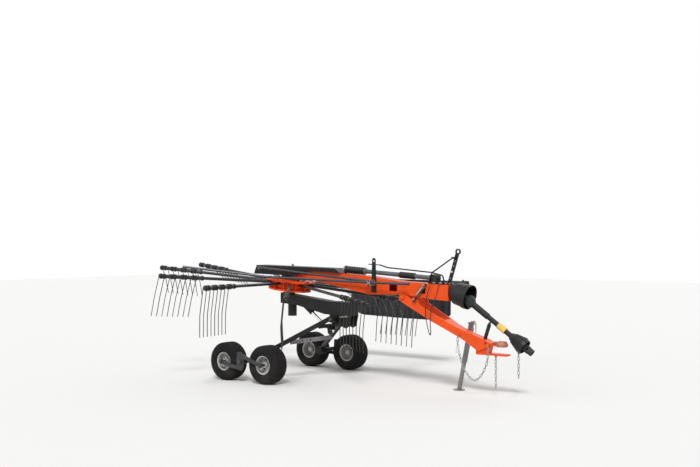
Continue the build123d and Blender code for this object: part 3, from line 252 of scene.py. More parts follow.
# Rods of one thickness, columns name, body, slot, finish, radius and points
RODS = (
    ("prop_grip", "drawbar", "black_plastic", "plastic", 0.021, ((2.790, 0, 0.602), (2.848, 0, 0.776))),
    ("rail_end", "frame", "black_paint", "black", 0.006,
     ((1.384, 0.020, 1.3965), (1.300, 0.018, 1.401), (1.215, 0.016, 1.405))),
    ("side_pipe", "frame", "zinc", "zinc", 0.011,
     ((0.862, -0.086, 0.764), (0.920, -0.086, 0.7705), (0.985, -0.086, 0.778))),
    ("jack_handle", "drawbar", "zinc", "tag", 0.006,
     ((2.535, 0.160, 0.768), (2.556, 0.160, 0.776), (2.578, 0.160, 0.776), (2.586, 0.160, 0.766),
      (2.588, 0.160, 0.740), (2.588, 0.160, 0.600))),
)
# Rounded blocks, columns name, body, slot, finish, low corner, high corner, bevel and its steps
BLOCKS = (
    ("stay_clip", "frame", "black_paint", "black", (2.388, -0.034, 1.481), (2.440, -0.009, 1.503), 0.003, 2),
    ("cover_bracket", "frame", "zinc", "plate", (-0.452, -0.119, 1.318), (-0.400, -0.109, 1.358), 0.003, 2),
    ("cover_lug", "frame", "zinc", "plate", (0.030, -0.009, 1.360), (0.056, 0.009, 1.392), 0.003, 2),
    ("chain_tag", "drawbar", "zinc", "tag", (2.490, -0.1095, 0.448), (2.528, -0.1065, 0.522), 0.0012, 1),
)
# Turnbuckle on the height tie: the tie's ends in x and z, shares of it, and the sizes of its bars and blocks
TIE_ENDS = ((2.100, 1.186), (1.962, 1.022))
TURNBUCKLE_SHARES = (0.14, 0.68)
TURNBUCKLE_GAP = 0.030
TURNBUCKLE_BAR = 0.013
TURNBUCKLE_BAR_HALF = 0.008
TURNBUCKLE_BLOCK_HALF = 0.010
TURNBUCKLE_BLOCK_LENGTH = 0.016
TURNBUCKLE_BLOCK_OUT = 0.004
TURNBUCKLE_BEVEL = 0.003
# Rolled lip of metal round each rim, columns radius and distance from the middle
RIM_LIP = ((0.098, 0.062), (0.108, 0.068), (0.1165, 0.0745), (0.1180, 0.0795), (0.1150, 0.0820),
           (0.1070, 0.0800), (0.0985, 0.0740))
# Casting's ring on the upper clevis plate, columns radius and height, its place and its shank
EYE_RING = ((0.019, 0.545), (0.026, 0.539), (0.057, 0.539), (0.063, 0.549), (0.063, 0.572),
            (0.055, 0.592), (0.040, 0.599), (0.027, 0.596), (0.019, 0.586))
EYE_AT = (3.000, 0, 0)
EYE_SHANK = ((2.905, -0.026, 0.566), (2.950, 0.026, 0.592))
EYE_BEVEL = 0.006

# Noise of the finishes, columns scale, detail and roughness
PATCH_NOISE = (9.0, 6.0, 0.6)
SPECK_NOISE = (85.0, 3.0, 0.6)
SCUFF_AND_SHEEN_NOISE = (34.0, 8.0, 0.68)
BROAD_NOISE = (5.5, 3.0, 0.5)
# Fine noise, detail and roughness; each finish has its own scale
FINE_NOISE = (5.0, 0.6)
# Where dust lies: spans of the face's upward share and of the noise, and how much each adds
UPPER_SPAN = (0.1, 1.0)
PATCH_SPAN = (0.40, 0.72)
SPECK_SPAN = (0.46, 0.68)
UPPER_SHARE = 0.55
PATCH_SHARE = 0.75
SPECK_SHARE = 0.30
# How a finish changes over a piece: span of noise between its two shades, roughness from grain and from dust
DRIFT_SPAN = (0.35, 0.65)
SHINE_SPAN = (-0.07, 0.09)
DUST_ROUGHNESS = 0.35
SCUFF_AND_SHEEN_EDGE = 0.03
COAT_ROUGHNESS = 0.12
BUMP_STRENGTH = 0.6
# Numbers of the Mix node's colour sockets, which share their names with others
MIX_FIRST = 6
MIX_SECOND = 7
MIX_RESULT = 2

# Finishes, columns key, label, colour or the setting that holds it, roughness, dust, specular and the rest;
# a colour and a noise level in the rest give scuffs above that level: wear, and on the tines partly a painted
# reflection of the sky
FINISHES = (
    ("orange", "Orange paint", "orange", 0.40, 0.10, 0.22,
     dict(coat=0.05, bump=0.0002, worn=((0.36, 0.08, 0.04), 0.71), tint=0.06)),
    ("black", "Black paint", "black", 0.38, 0.09, 0.24,
     dict(bump=0.0002, worn=((0.07, 0.06, 0.05), 0.70), tint=0.2)),
    ("tubes", "Tube paint", (0.012, 0.012, 0.014), 0.27, 0.06, 0.5,
     dict(bump=0.0002, worn=((0.10, 0.09, 0.08), 0.69), tint=0.2)),
    ("bars", "Bar steel", (0.055, 0.055, 0.066), 0.26, 0.08, 0.4,
     dict(metallic=0.5, worn=((0.06, 0.055, 0.05), 0.66))),
    # Bogie: dark grey paint, made lighter and bluer than the black paint as a painted sheen of the sky on its
    # arms
    ("bogie", "Bogie paint", (0.023, 0.022, 0.028), 0.34, 0.14, 0.4,
     dict(bump=0.0002, worn=((0.14, 0.12, 0.10), 0.68), tint=0.15)),
    ("plate", "Grey plate", (0.22, 0.21, 0.22), 0.50, 0.15, 0.3, dict(metallic=0.2)),
    ("turnbuckle", "Pale green zinc", (0.36, 0.44, 0.39), 0.48, 0.15, 0.3,
     dict(metallic=0.3, worn=((0.25, 0.22, 0.17), 0.66))),
    ("drive", "Drive tube", (0.085, 0.100, 0.120), 0.36, 0.12, 0.35,
     dict(worn=((0.20, 0.19, 0.20), 0.66), tint=0.2)),
    ("rim", "Rim paint", "rim", 0.45, 0.20, 0.3, dict(metallic=0.1, worn=((0.20, 0.17, 0.14), 0.69))),
    ("rubber", "Tyre rubber", "rubber", 0.74, 0.12, 0.14,
     dict(bump=0.0008, grain=120.0, dust_high=0.45, tint=0.15)),
    ("plastic", "Black plastic", "plastic", 0.42, 0.07, 0.28, dict(bump=0.0003, grain=160.0, tint=0.15)),
    ("bell", "Dark green plastic", (0.008, 0.016, 0.013), 0.36, 0.10, 0.4, dict(grain=120.0)),
    # Curtain rubber: black, with a blue tint that is a painted sheen of the sky; the hose takes the same
    # finish
    ("curtain", "Curtain rubber", (0.0095, 0.0110, 0.016), 0.36, 0.10, 0.36,
     dict(bump=0.0010, grain=45.0, tint=0.30)),
    ("yellow", "Yellow band", "yellow", 0.45, 0.10, 0.3, dict(grain=90.0, tint=0.08)),
    # Tine steel: dark, with light brown scuffs that are partly wear and partly a painted reflection of the
    # sky, so the wires show as light lines
    ("tine", "Tine steel", (0.013, 0.012, 0.011), 0.36, 0.12, 0.45,
     dict(metallic=0.2, grain=90.0, worn=((0.09, 0.065, 0.045), 0.64))),
    ("zinc", "Zinc plate", "zinc", 0.48, 0.15, 0.4,
     dict(metallic=0.6, grain=130.0, worn=((0.22, 0.18, 0.13), 0.66))),
    ("jack", "Dull zinc", (0.19, 0.19, 0.18), 0.46, 0.15, 0.3,
     dict(metallic=0.4, grain=130.0, worn=((0.10, 0.085, 0.07), 0.66))),
    ("chrome", "Chrome rod", (0.80, 0.80, 0.80), 0.14, 0.05, 0.5,
     dict(metallic=1.0, grain=200.0, bump=0.00005, tint=0.03)),
    ("cast", "Cast iron", (0.022, 0.023, 0.025), 0.58, 0.14, 0.25,
     dict(metallic=0.1, grain=110.0, bump=0.0009)),
    ("steel", "Worn steel", (0.075, 0.070, 0.068), 0.42, 0.14, 0.3,
     dict(metallic=0.6, grain=120.0, worn=((0.13, 0.075, 0.045), 0.60))),
    ("tag", "White paint", (0.62, 0.63, 0.61), 0.5, 0.12, 0.3, dict(tint=0.04)),
    ("eye", "Rusty casting", (0.38, 0.16, 0.12), 0.60, 0.12, 0.25,
     dict(metallic=0.2, grain=90.0, bump=0.0008, worn=((0.16, 0.06, 0.04), 0.54), tint=0.25)),
    ("red", "Red paint", (0.50, 0.060, 0.045), 0.4, 0.12, 0.3, dict(tint=0.06)),
)
# Finish of each CAD node that stays as it is, columns finish and nodes
NODE_FINISH = (
    ("orange", ("main_beam", "front_frame", "rotor_drum", "drawbar", "hitch_clevis")),
    ("black", ("chassis_beam", "swing_frame", "mast", "mast_stay", "hose_rail", "curtain_rail",
               "curtain_carrier", "curtain_slide", "lift_barrel", "shaft_prop", "rack_post",
               "gearbox_cover", "hose_block")),
    ("tubes", ("arm_tubes",)),
    ("bars", ("long_bar", "short_bar")),
    ("bogie", ("bogie_left", "bogie_right")),
    ("plate", ("cross_plate",)),
    ("drive", ("drive_tube",)),
    ("rim", ("rim_front_left", "rim_front_right", "rim_rear_left", "rim_rear_right")),
    ("plastic", ("drive_bellows", "shaft_guard", "shaft_tube", "shaft_boot")),
    ("yellow", ("shaft_band",)),
    ("zinc", ("bar_clamp",)),
    ("jack", ("jack_sleeve", "jack_leg")),
    ("steel", ("shaft_joint", "input_shaft", "height_tie")),
    ("chrome", ("lift_rod",)),
    ("cast", ("gearbox", "rotor_axle", "front_bearing", "shaft_yoke")),
)

# Filled by the paint step: finishes and shader groups by key, and geometry trees
FINISH = {}
SHADERS = {}
TREES = {}


# Settings that a user would change

def length(name, description, default):
    """Length setting in metres."""
    return bpy.props.FloatProperty(name=name, description=description, default=default, unit="LENGTH")


def colour_of(name, description, default):
    """Colour setting."""
    return bpy.props.FloatVectorProperty(name=name, description=description, default=default, subtype="COLOR")


class RakeSizes(bpy.types.PropertyGroup):
    lugs: bpy.props.IntProperty(name="Lugs", description="Lugs round one side of a tyre", default=44)
    rib_groove: length("Groove depth", "Depth of the tyre's round grooves", 0.006)
    tine_wire: length("Tine wire", "Radius of the tine wire", 0.0047)
    coil_turns: bpy.props.FloatProperty(
        name="Coil turns", description="Turns of each tine's coil", default=2.25)
    link_wire: length("Link wire", "Radius of a chain link's wire", 0.0034)
    bolt_head: length("Bolt head", "Size across the flats of a plain bolt head", 0.024)
    curtain_wave: length("Curtain wave", "How far the curtain's folds stand out", 0.013)


class RakeColours(bpy.types.PropertyGroup):
    orange: colour_of("Orange paint", "Paint of the beam, drum and drawbar", (0.74, 0.070, 0.004))
    black: colour_of("Black paint", "Paint of the chassis", (0.0085, 0.0088, 0.0095))
    rim: colour_of("Rim paint", "Paint of the wheels' rims", (0.43, 0.43, 0.42))
    rubber: colour_of("Rubber", "Tyre rubber", (0.0078, 0.0075, 0.009))
    plastic: colour_of("Black plastic", "Guards and boots", (0.010, 0.010, 0.012))
    yellow: colour_of("Yellow band", "Band on the drive shaft's guard", (0.72, 0.47, 0.10))
    zinc: colour_of("Zinc", "Zinc-plated steel", (0.30, 0.30, 0.285))
    dust: colour_of("Dust", "Dry soil and chaff on the paint", (0.26, 0.22, 0.16))


# Places

def at(x, y, z):
    """Point in the frame from metres ahead of the rotor's axis, left of the middle plane and above ground."""
    return Vector((x + ROTOR_AT.x, y + ROTOR_AT.y, z))


def turned(degrees, axis):
    """Turn about an axis through the origin."""
    return Matrix.Rotation(math.radians(degrees), 4, axis)


def facing(point, way):
    """Place at a point with Z along a way."""
    return Matrix.Translation(point) @ Vector(way).to_track_quat("Z", "Y").to_matrix().to_4x4()


def rotor_place():
    """Frame of the rotor: its centre and its lean."""
    lean = turned(-ROTOR_LEAN, "X") @ turned(ROTOR_NOSE_DOWN, "Y")
    return Matrix.Translation(ROTOR_AT) @ lean


def arm_place(index):
    """Frame of one arm: along X, with Z up."""
    turn = turned(-FIRST_ARM_ANGLE - index * 360 / ARM_COUNT, "Z")
    return rotor_place() @ Matrix.Translation((0, 0, ARM_RISE)) @ turn


# Mesh helpers

def new_object(name, data):
    """Object that holds some data, linked to the scene."""
    piece = bpy.data.objects.new(name, data)
    bpy.context.scene.collection.objects.link(piece)
    return piece


def shade(mesh, angle=SHARP_ANGLE):
    """Smooth shading with sharp edges above an angle."""
    mesh.shade_smooth()
    mesh.set_sharp_from_angle(angle=math.radians(angle))


def mesh_of(name, parts):
    """Mesh from a list of (vertices, faces) parts."""
    vertices = []
    faces = []
    for part_vertices, part_faces in parts:
        first = len(vertices)
        vertices += [tuple(v) for v in part_vertices]
        faces += [tuple(i + first for i in face) for face in part_faces]
    mesh = bpy.data.meshes.new(name)
    mesh.from_pydata(vertices, [], faces)
    mesh.validate()
    shade(mesh)
    return mesh


def placed(part, matrix):
    """A part's vertices moved by a matrix."""
    vertices, faces = part
    return [matrix @ Vector(v) for v in vertices], faces


def skin(vertices, sides, closed=False):
    """Part from rings of vertices, which make a closed ring or have both ends closed."""
    count = len(vertices) // sides
    faces = []
    for ring in range(count if closed else count - 1):
        here = ring * sides
        there = (ring + 1) % count * sides
        for step in range(sides):
            after = (step + 1) % sides
            faces.append((here + step, here + after, there + after, there + step))
    if not closed:
        faces.append(tuple(reversed(range(sides))))
        faces.append(tuple(range((count - 1) * sides, count * sides)))
    return vertices, faces


def tube(points, radius, sides, closed=False):
    """Round wire through points."""
    points = [Vector(p) for p in points]
    count = len(points)
    vertices = []
    side = None
    for index, point in enumerate(points):
        before = points[index - 1] if index or closed else point
        after = points[(index + 1) % count] if index < count - 1 or closed else point
        along = (after - before).normalized()
        if side is None:
            side = along.orthogonal().normalized()
        side = (side - along * side.dot(along)).normalized()
        other = along.cross(side)
        for step in range(sides):
            turn = math.tau * step / sides
            vertices.append(point + radius * (math.cos(turn) * side + math.sin(turn) * other))
    return skin(vertices, sides, closed)


def lathe(profile, segments, closed=False):
    """Turned part about Z from (radius, height) corners, which are a closed section for a ring."""
    turns = [math.tau * step / segments for step in range(segments)]
    vertices = [(r * math.cos(turn), r * math.sin(turn), h) for r, h in profile for turn in turns]
    return skin(vertices, segments, closed)


def hex_head(across, height):
    """Hexagon head on a washer, standing on Z = 0."""
    radius = across / math.sqrt(3)
    return [lathe([(radius * out, height * up) for out, up in profile], facets)
            for facets, profile in HEAD_PARTS]


def rounded(mesh, width, segments):
    """Bevel the sharp edges of a mesh in place."""
    work = bmesh.new()
    work.from_mesh(mesh)
    limit = math.radians(ROUNDED_ANGLE)
    edges = [e for e in work.edges if len(e.link_faces) == 2 and e.calc_face_angle() > limit]
    bmesh.ops.bevel(work, geom=edges, offset=width, segments=segments, affect="EDGES", clamp_overlap=True)
    work.to_mesh(mesh)
    work.free()
    shade(mesh)


def block(name, low, high, bevel, segments=2):
    """Mesh of a box between two corners, with its edges rounded."""
    (x0, y0, z0), (x1, y1, z1) = low, high
    vertices = [(x, y, z) for z in (z0, z1) for x, y in ((x0, y0), (x1, y0), (x1, y1), (x0, y1))]
    faces = [(3, 2, 1, 0), (4, 5, 6, 7), (0, 1, 5, 4), (1, 2, 6, 5), (2, 3, 7, 6), (3, 0, 4, 7)]
    mesh = mesh_of(name, [(vertices, faces)])
    rounded(mesh, bevel, segments)
    return mesh


def outwards(mesh):
    """Turn a closed mesh's faces outwards."""
    work = bmesh.new()
    work.from_mesh(mesh)
    bmesh.ops.remove_doubles(work, verts=work.verts, dist=1e-6)
    bmesh.ops.recalc_face_normals(work, faces=work.faces)
    work.to_mesh(mesh)
    work.free()


def joined(name, meshes):
    """One mesh from several."""
    whole = bmesh.new()
    for mesh in meshes:
        whole.from_mesh(mesh)
    result = bpy.data.meshes.new(name)
    whole.to_mesh(result)
    whole.free()
    return result


def dress(piece, finish, body, nodes=()):
    """Give a finished piece its paint and its body, and hide the nodes it stands for."""
    piece.data.materials.clear()
    piece.data.materials.append(FINISH[finish])
    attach(piece, body)
    if nodes:
        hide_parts(*nodes)
    return piece


def dressed(name, mesh, finish, body, nodes=()):
    """Finished piece from a mesh."""
    return dress(new_object(name, mesh), finish, body, nodes)


# Nodes

def new_group(name, kind, inputs, outputs):
    """Node group with its given and result sockets, from rows of name, type and perhaps a default."""
    group = bpy.data.node_groups.new(name, kind)
    for way, rows in (("INPUT", inputs), ("OUTPUT", outputs)):
        for label, socket_kind, *default in rows:
            socket = group.interface.new_socket(label, in_out=way, socket_type=f"NodeSocket{socket_kind}")
            if default:
                socket.default_value = default[0]
    return group, group.nodes.new("NodeGroupInput").outputs, group.nodes.new("NodeGroupOutput").inputs


def fill(tree, sockets, values):
    """Give input sockets, by name or number, a number or a link from another socket."""
    for place, value in values.items():
        if isinstance(value, bpy.types.NodeSocket):
            tree.links.new(value, sockets[place])
        else:
            sockets[place].default_value = value


def add_node(tree, kind, values, **settings):
    """Outputs of a new node that has these input values and settings."""
    node = tree.nodes.new(kind)
    for name, value in settings.items():
        setattr(node, name, value)
    fill(tree, node.inputs, values)
    return node.outputs


def painted_copies(tree, given, result, points, piece, values):
    """End a tree with copies on points, made real and painted."""
    source = add_node(tree, "GeometryNodeObjectInfo", {"Object": piece})
    copies = add_node(tree, "GeometryNodeInstanceOnPoints",
                      {"Points": points, "Instance": source["Geometry"], **values})
    real = add_node(tree, "GeometryNodeRealizeInstances", {"Geometry": copies["Instances"]})
    paint = add_node(tree, "GeometryNodeSetMaterial",
                     {"Geometry": real["Geometry"], "Material": given["Material"]})
    fill(tree, result, {"Geometry": paint["Geometry"]})
    return tree


def tree_on_points():
    """Copies of one piece on the points of a mesh, turned by the attribute turn and sized by size."""
    tree, given, result = new_group("Pieces on points", "GeometryNodeTree", (
        ("Geometry", "Geometry"), ("Piece", "Object"), ("Material", "Material"),
    ), (("Geometry", "Geometry"),))
    points = add_node(tree, "GeometryNodeMeshToPoints", {"Mesh": given["Geometry"]})
    turn = add_node(tree, "GeometryNodeInputNamedAttribute", {"Name": "turn"}, data_type="FLOAT_VECTOR")
    size = add_node(tree, "GeometryNodeInputNamedAttribute", {"Name": "size"}, data_type="FLOAT")
    return painted_copies(tree, given, result, points["Points"], given["Piece"],
                          {"Rotation": turn["Attribute"], "Scale": size["Attribute"]})


def tree_round_wheel():
    """Copies of one lug round a wheel's Y axis, evenly spaced."""
    tree, given, result = new_group("Lugs round a wheel", "GeometryNodeTree", (
        ("Geometry", "Geometry"), ("Lug", "Object"), ("Radius", "Float", 0.2), ("Count", "Int", 40),
        ("Material", "Material"),
    ), (("Geometry", "Geometry"),))
    ring = add_node(tree, "GeometryNodeMeshCircle", {"Vertices": given["Count"], "Radius": given["Radius"]})
    flat = add_node(tree, "GeometryNodeTransform",
                    {"Geometry": ring["Mesh"], "Rotation": Euler((math.pi / 2, 0, 0))})
    index = add_node(tree, "GeometryNodeInputIndex", {})
    share = add_node(tree, "ShaderNodeMath", {0: index["Index"], 1: given["Count"]}, operation="DIVIDE")
    full = add_node(tree, "ShaderNodeMath", {0: share[0], 1: -math.tau}, operation="MULTIPLY")
    turn = add_node(tree, "ShaderNodeCombineXYZ", {"Y": full[0]})
    return painted_copies(tree, given, result, flat["Geometry"], given["Lug"], {"Rotation": turn[0]})


def grown(holder, tree, values):
    """Plain mesh that a tree grows from the holder, which is then removed."""
    modifier = holder.modifiers.new("Grow", "NODES")
    modifier.node_group = tree
    for item in tree.interface.items_tree:
        if item.item_type == "SOCKET" and item.in_out == "INPUT" and item.name in values:
            modifier[item.identifier] = values[item.name]
    bpy.context.view_layer.update()
    graph = bpy.context.evaluated_depsgraph_get()
    mesh = bpy.data.meshes.new_from_object(holder.evaluated_get(graph))
    holder.modifiers.remove(modifier)
    bpy.data.objects.remove(holder)
    return mesh


def copies_at(name, places, prototype, finish, body, nodes=()):
    """Finished piece of copies of a mesh; places has columns matrix and size."""
    mesh = bpy.data.meshes.new(name + "_points")
    mesh.from_pydata([matrix.translation for matrix, size in places], [], [])
    mesh.attributes.new("turn", "FLOAT_VECTOR", "POINT")
    mesh.attributes.new("size", "FLOAT", "POINT")
    for index, (matrix, size) in enumerate(places):
        mesh.attributes["turn"].data[index].vector = matrix.to_euler("XYZ")
        mesh.attributes["size"].data[index].value = size
    master = new_object(name + "_piece", prototype)
    values = {"Piece": master, "Material": FINISH[finish]}
    copies = grown(new_object(name + "_points", mesh), TREES["points"], values)
    bpy.data.objects.remove(master)
    copies.name = name
    shade(copies)
    return dressed(name, copies, finish, body, nodes)


# Materials

def noise(tree, scale, detail, roughness):
    """Noise on the object's own coordinates."""
    place = add_node(tree, "ShaderNodeTexCoord", {})
    values = {"Vector": place["Object"], "Scale": scale, "Detail": detail, "Roughness": roughness}
    return add_node(tree, "ShaderNodeTexNoise", values)["Fac"]


def stretched(tree, source, low, high):
    """Value stretched from low..high to 0..1 and clamped."""
    values = {"Value": source, "From Min": low, "From Max": high}
    return add_node(tree, "ShaderNodeMapRange", values)["Result"]


def clamped(tree, operation, first, second):
    """Sum or product of two sockets or numbers, kept within 0 and 1."""
    return add_node(tree, "ShaderNodeMath", {0: first, 1: second}, operation=operation, use_clamp=True)[0]


def mix_colour(tree, share, first, second):
    """Colour mix; first and second are sockets or colours."""
    values = {"Factor": share, MIX_FIRST: first, MIX_SECOND: second}
    return add_node(tree, "ShaderNodeMix", values, data_type="RGBA")[MIX_RESULT]


def make_dust_group():
    """Mask of dust that lies on upper faces and low down, broken up by noise."""
    group, given, result = new_group("Dust", "ShaderNodeTree", (
        ("Amount", "Float", 0.5), ("High", "Float", 1.2),
    ), (("Mask", "Float"),))
    place = add_node(group, "ShaderNodeTexCoord", {})
    height = add_node(group, "ShaderNodeSeparateXYZ", {0: place["Object"]})["Z"]
    surface = add_node(group, "ShaderNodeNewGeometry", {})
    up = add_node(group, "ShaderNodeSeparateXYZ", {0: surface["Normal"]})["Z"]
    low_down = stretched(group, height, given["High"], 0.0)
    upper, patches, specks = [
        clamped(group, "MULTIPLY", stretched(group, source, *span), share) for source, span, share in (
            (up, UPPER_SPAN, UPPER_SHARE),
            (noise(group, *PATCH_NOISE), PATCH_SPAN, PATCH_SHARE),
            (noise(group, *SPECK_NOISE), SPECK_SPAN, SPECK_SHARE),
        )]
    reach = clamped(group, "ADD", upper, low_down)
    broken = clamped(group, "ADD", patches, specks)
    mask = clamped(group, "MULTIPLY", clamped(group, "MULTIPLY", reach, broken), given["Amount"])
    fill(group, result, {"Mask": mask})
    return group


def make_grain_group():
    """Fine and broad noise for small height and shine changes."""
    group, given, result = new_group("Grain", "ShaderNodeTree", (
        ("Scale", "Float", 60.0),
    ), (("Fine", "Float"), ("Broad", "Float")))
    fine = noise(group, given["Scale"], *FINE_NOISE)
    fill(group, result, {"Fine": fine, "Broad": noise(group, *BROAD_NOISE)})
    return group


def finish_of(name, colour, roughness, dust, specular, metallic=0.0, grain=70.0, bump=0.0004, coat=0.0,
              worn=None, dust_high=1.2, tint=0.10):
    """Material with grain in its shine and height, colour drift, dust, and scuffs of wear, which on the tines
    are partly a painted reflection.
    """
    material = bpy.data.materials.new(name)
    material.use_nodes = True
    tree = material.node_tree
    grained = add_node(tree, "ShaderNodeGroup", {"Scale": grain}, node_tree=SHADERS["grain"])
    dusty = add_node(tree, "ShaderNodeGroup", {"Amount": dust, "High": dust_high}, node_tree=SHADERS["dust"])
    shades = [tuple(c * (1 + sign * tint) for c in colour) + (1.0,) for sign in (-1, 1)]
    paint = mix_colour(tree, stretched(tree, grained["Broad"], *DRIFT_SPAN), *shades)
    # Scuffs of wear; on the tines their light colour is partly a painted reflection of the sky
    if worn:
        scuff_and_sheen_colour, threshold = worn
        scuffs_and_sheen = stretched(tree, noise(tree, *SCUFF_AND_SHEEN_NOISE), threshold, threshold + SCUFF_AND_SHEEN_EDGE)
        paint = mix_colour(tree, scuffs_and_sheen, paint, scuff_and_sheen_colour + (1.0,))
    soil = tuple(bpy.context.scene.rake_colours.dust) + (1.0,)
    low, high = (roughness + change for change in SHINE_SPAN)
    span = {"Value": grained["Fine"], "To Min": low, "To Max": high}
    shine = add_node(tree, "ShaderNodeMapRange", span)["Result"]
    soiled = clamped(tree, "MULTIPLY", dusty["Mask"], DUST_ROUGHNESS)
    height = add_node(tree, "ShaderNodeBump",
                      {"Strength": BUMP_STRENGTH, "Distance": bump, "Height": grained["Fine"]})
    fill(tree, tree.nodes["Principled BSDF"].inputs, {
        "Base Color": mix_colour(tree, dusty["Mask"], paint, soil),
        "Roughness": clamped(tree, "ADD", shine, soiled),
        "Metallic": metallic,
        "Specular IOR Level": specular,
        "Coat Weight": coat,
        "Coat Roughness": COAT_ROUGHNESS,
        "Normal": height["Normal"],
    })
    return material


# Operators

class RAKE_OT_camera(bpy.types.Operator):
    """Set the camera where the photograph was taken"""
    bl_idname = "rake.camera"
    bl_label = "Camera"

    def execute(self, context):
        data = bpy.data.cameras.new("Camera")
        data.lens = CAMERA_LENS
        data.sensor_width = SENSOR_WIDTH
        data.clip_end = CAMERA_CLIP_END
        camera = new_object("Camera", data)
        camera.location = at(*CAMERA_PLACE)
        camera.rotation_euler = (math.radians(90 + CAMERA_PITCH), 0, math.radians(CAMERA_AZIMUTH))
        context.scene.camera = camera
        return {"FINISHED"}


class RAKE_OT_paint(bpy.types.Operator):
    """Make the finishes and give the construction's own pieces theirs"""
    bl_idname = "rake.paint"
    bl_label = "Paint"

    def execute(self, context):
        SHADERS["dust"] = make_dust_group()
        SHADERS["grain"] = make_grain_group()
        TREES["points"] = tree_on_points()
        TREES["wheel"] = tree_round_wheel()
        for key, label, colour, roughness, dust, specular, rest in FINISHES:
            if isinstance(colour, str):
                colour = tuple(getattr(context.scene.rake_colours, colour))
            FINISH[key] = finish_of(label, colour, roughness, dust, specular, **rest)
        for finish, nodes in NODE_FINISH:
            for node in nodes:
                mesh = frame["nodes"][node].data
                mesh.materials.clear()
                mesh.materials.append(FINISH[finish])
                shade(mesh, NODE_SHARP_ANGLE)
        return {"FINISHED"}


class RAKE_OT_tyres(bpy.types.Operator):
    """Ribbed tyres with shoulder lugs, one on each rim"""
    bl_idname = "rake.tyres"
    bl_label = "Tyres"

    def execute(self, context):
        sizes = context.scene.rake_sizes
        for wheel, side, sign in WHEELS:
            low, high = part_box(f"tyre_{wheel}")
            half = (high.y - low.y) / 2
            outer = (high.z - low.z) / 2
            name = f"dressed_tyre_{wheel}"
            body = self.body(half, outer, sizes.rib_groove)
            tyre = joined(name, [body, *self.lugs(half, outer, sizes.lugs)])
            tyre.transform(Matrix.Translation((low + high) / 2))
            shade(tyre, NODE_SHARP_ANGLE)
            dressed(name, tyre, "rubber", f"wheel_{wheel}", [f"tyre_{wheel}"])
        return {"FINISHED"}

    def body(self, half, outer, groove):
        """Ribbed body of a tyre round Y."""
        half_width = half - TYRE_INSET
        crown = outer - TYRE_INSET
        height = outer - TYRE_BEAD_R
        right = [(TYRE_BEAD_R + up * height, across * half_width) for across, up in TYRE_SECTION]
        for outside, inside in TREAD_RIBS:
            right += [(crown - CROWN_DROP * share, share * half_width) for share in (outside, inside)]
            right += [(crown - groove, (inside - drop) * half_width) for drop in (GROOVE_EDGE, GROOVE_FLOOR)]
        right = right[:-1] + [(crown - groove, 0.0)]
        left = [(r, -y) for r, y in reversed(right[:-1])]
        return mesh_of("body", [placed(lathe(right + left, TYRE_FACETS, closed=True), turned(-90, "X"))])

    def lugs(self, half, outer, count):
        """Ring of lugs on each shoulder, the right one half a step on."""
        section = [(share * half + out, up) for share, out, up in LUG_SECTION]
        inner = section[0][0]
        corners = [(up, y, sign * LUG_WIDTH / 2 + (y - inner) * LUG_SLANT)
                   for sign in (1, -1) for y, up in section]
        lug = mesh_of("lug", [skin(corners, len(section))])
        rounded(lug, LUG_BEVEL, 1)
        master = new_object("lug", lug)
        values = {"Lug": master, "Radius": outer, "Count": count, "Material": FINISH["rubber"]}
        rings = []
        for turn, step in ((0, 0), (180, 180 / count)):
            ring = grown(new_object("holder", bpy.data.meshes.new("holder")), TREES["wheel"], values)
            ring.transform(turned(step, "Y") @ turned(turn, "Z"))
            rings.append(ring)
        bpy.data.objects.remove(master)
        return rings


class RAKE_OT_hose(bpy.types.Operator):
    """The hydraulic hose as one free loop"""
    bl_idname = "rake.hose"
    bl_label = "Hose"

    def execute(self, context):
        curve = bpy.data.curves.new("hose", "CURVE")
        curve.dimensions = "3D"
        curve.bevel_depth = HOSE_DIAMETER / 2
        curve.bevel_resolution = 3
        curve.resolution_u = 10
        curve.render_resolution_u = 10
        curve.use_fill_caps = True
        spline = curve.splines.new("NURBS")
        spline.points.add(len(HOSE_ROUTE) - 1)
        for point, place in zip(spline.points, HOSE_ROUTE):
            point.co = (*at(*place), 1.0)
        spline.order_u = 3
        spline.use_endpoint_u = True
        hose = new_object("dressed_hose", curve)
        # The hose takes the curtain's black rubber, blue painted sheen included
        dress(hose, "curtain", "frame", ["hydraulic_hose"])
        ends = [self.ferrule("hose_front_end", HOSE_ROUTE[0]), self.ferrule("hose_rear_end", HOSE_ROUTE[-1])]
        return {"FINISHED"}

    def ferrule(self, name, place):
        """Union nut and crimped sleeve round one end of the hose, which leaves its block to the right."""
        end = facing(at(*place), RIGHT)
        parts = [placed(lathe(profile, facets), end) for facets, profile in HOSE_FERRULE]
        return dressed(name, mesh_of(name, parts), "zinc", "frame")


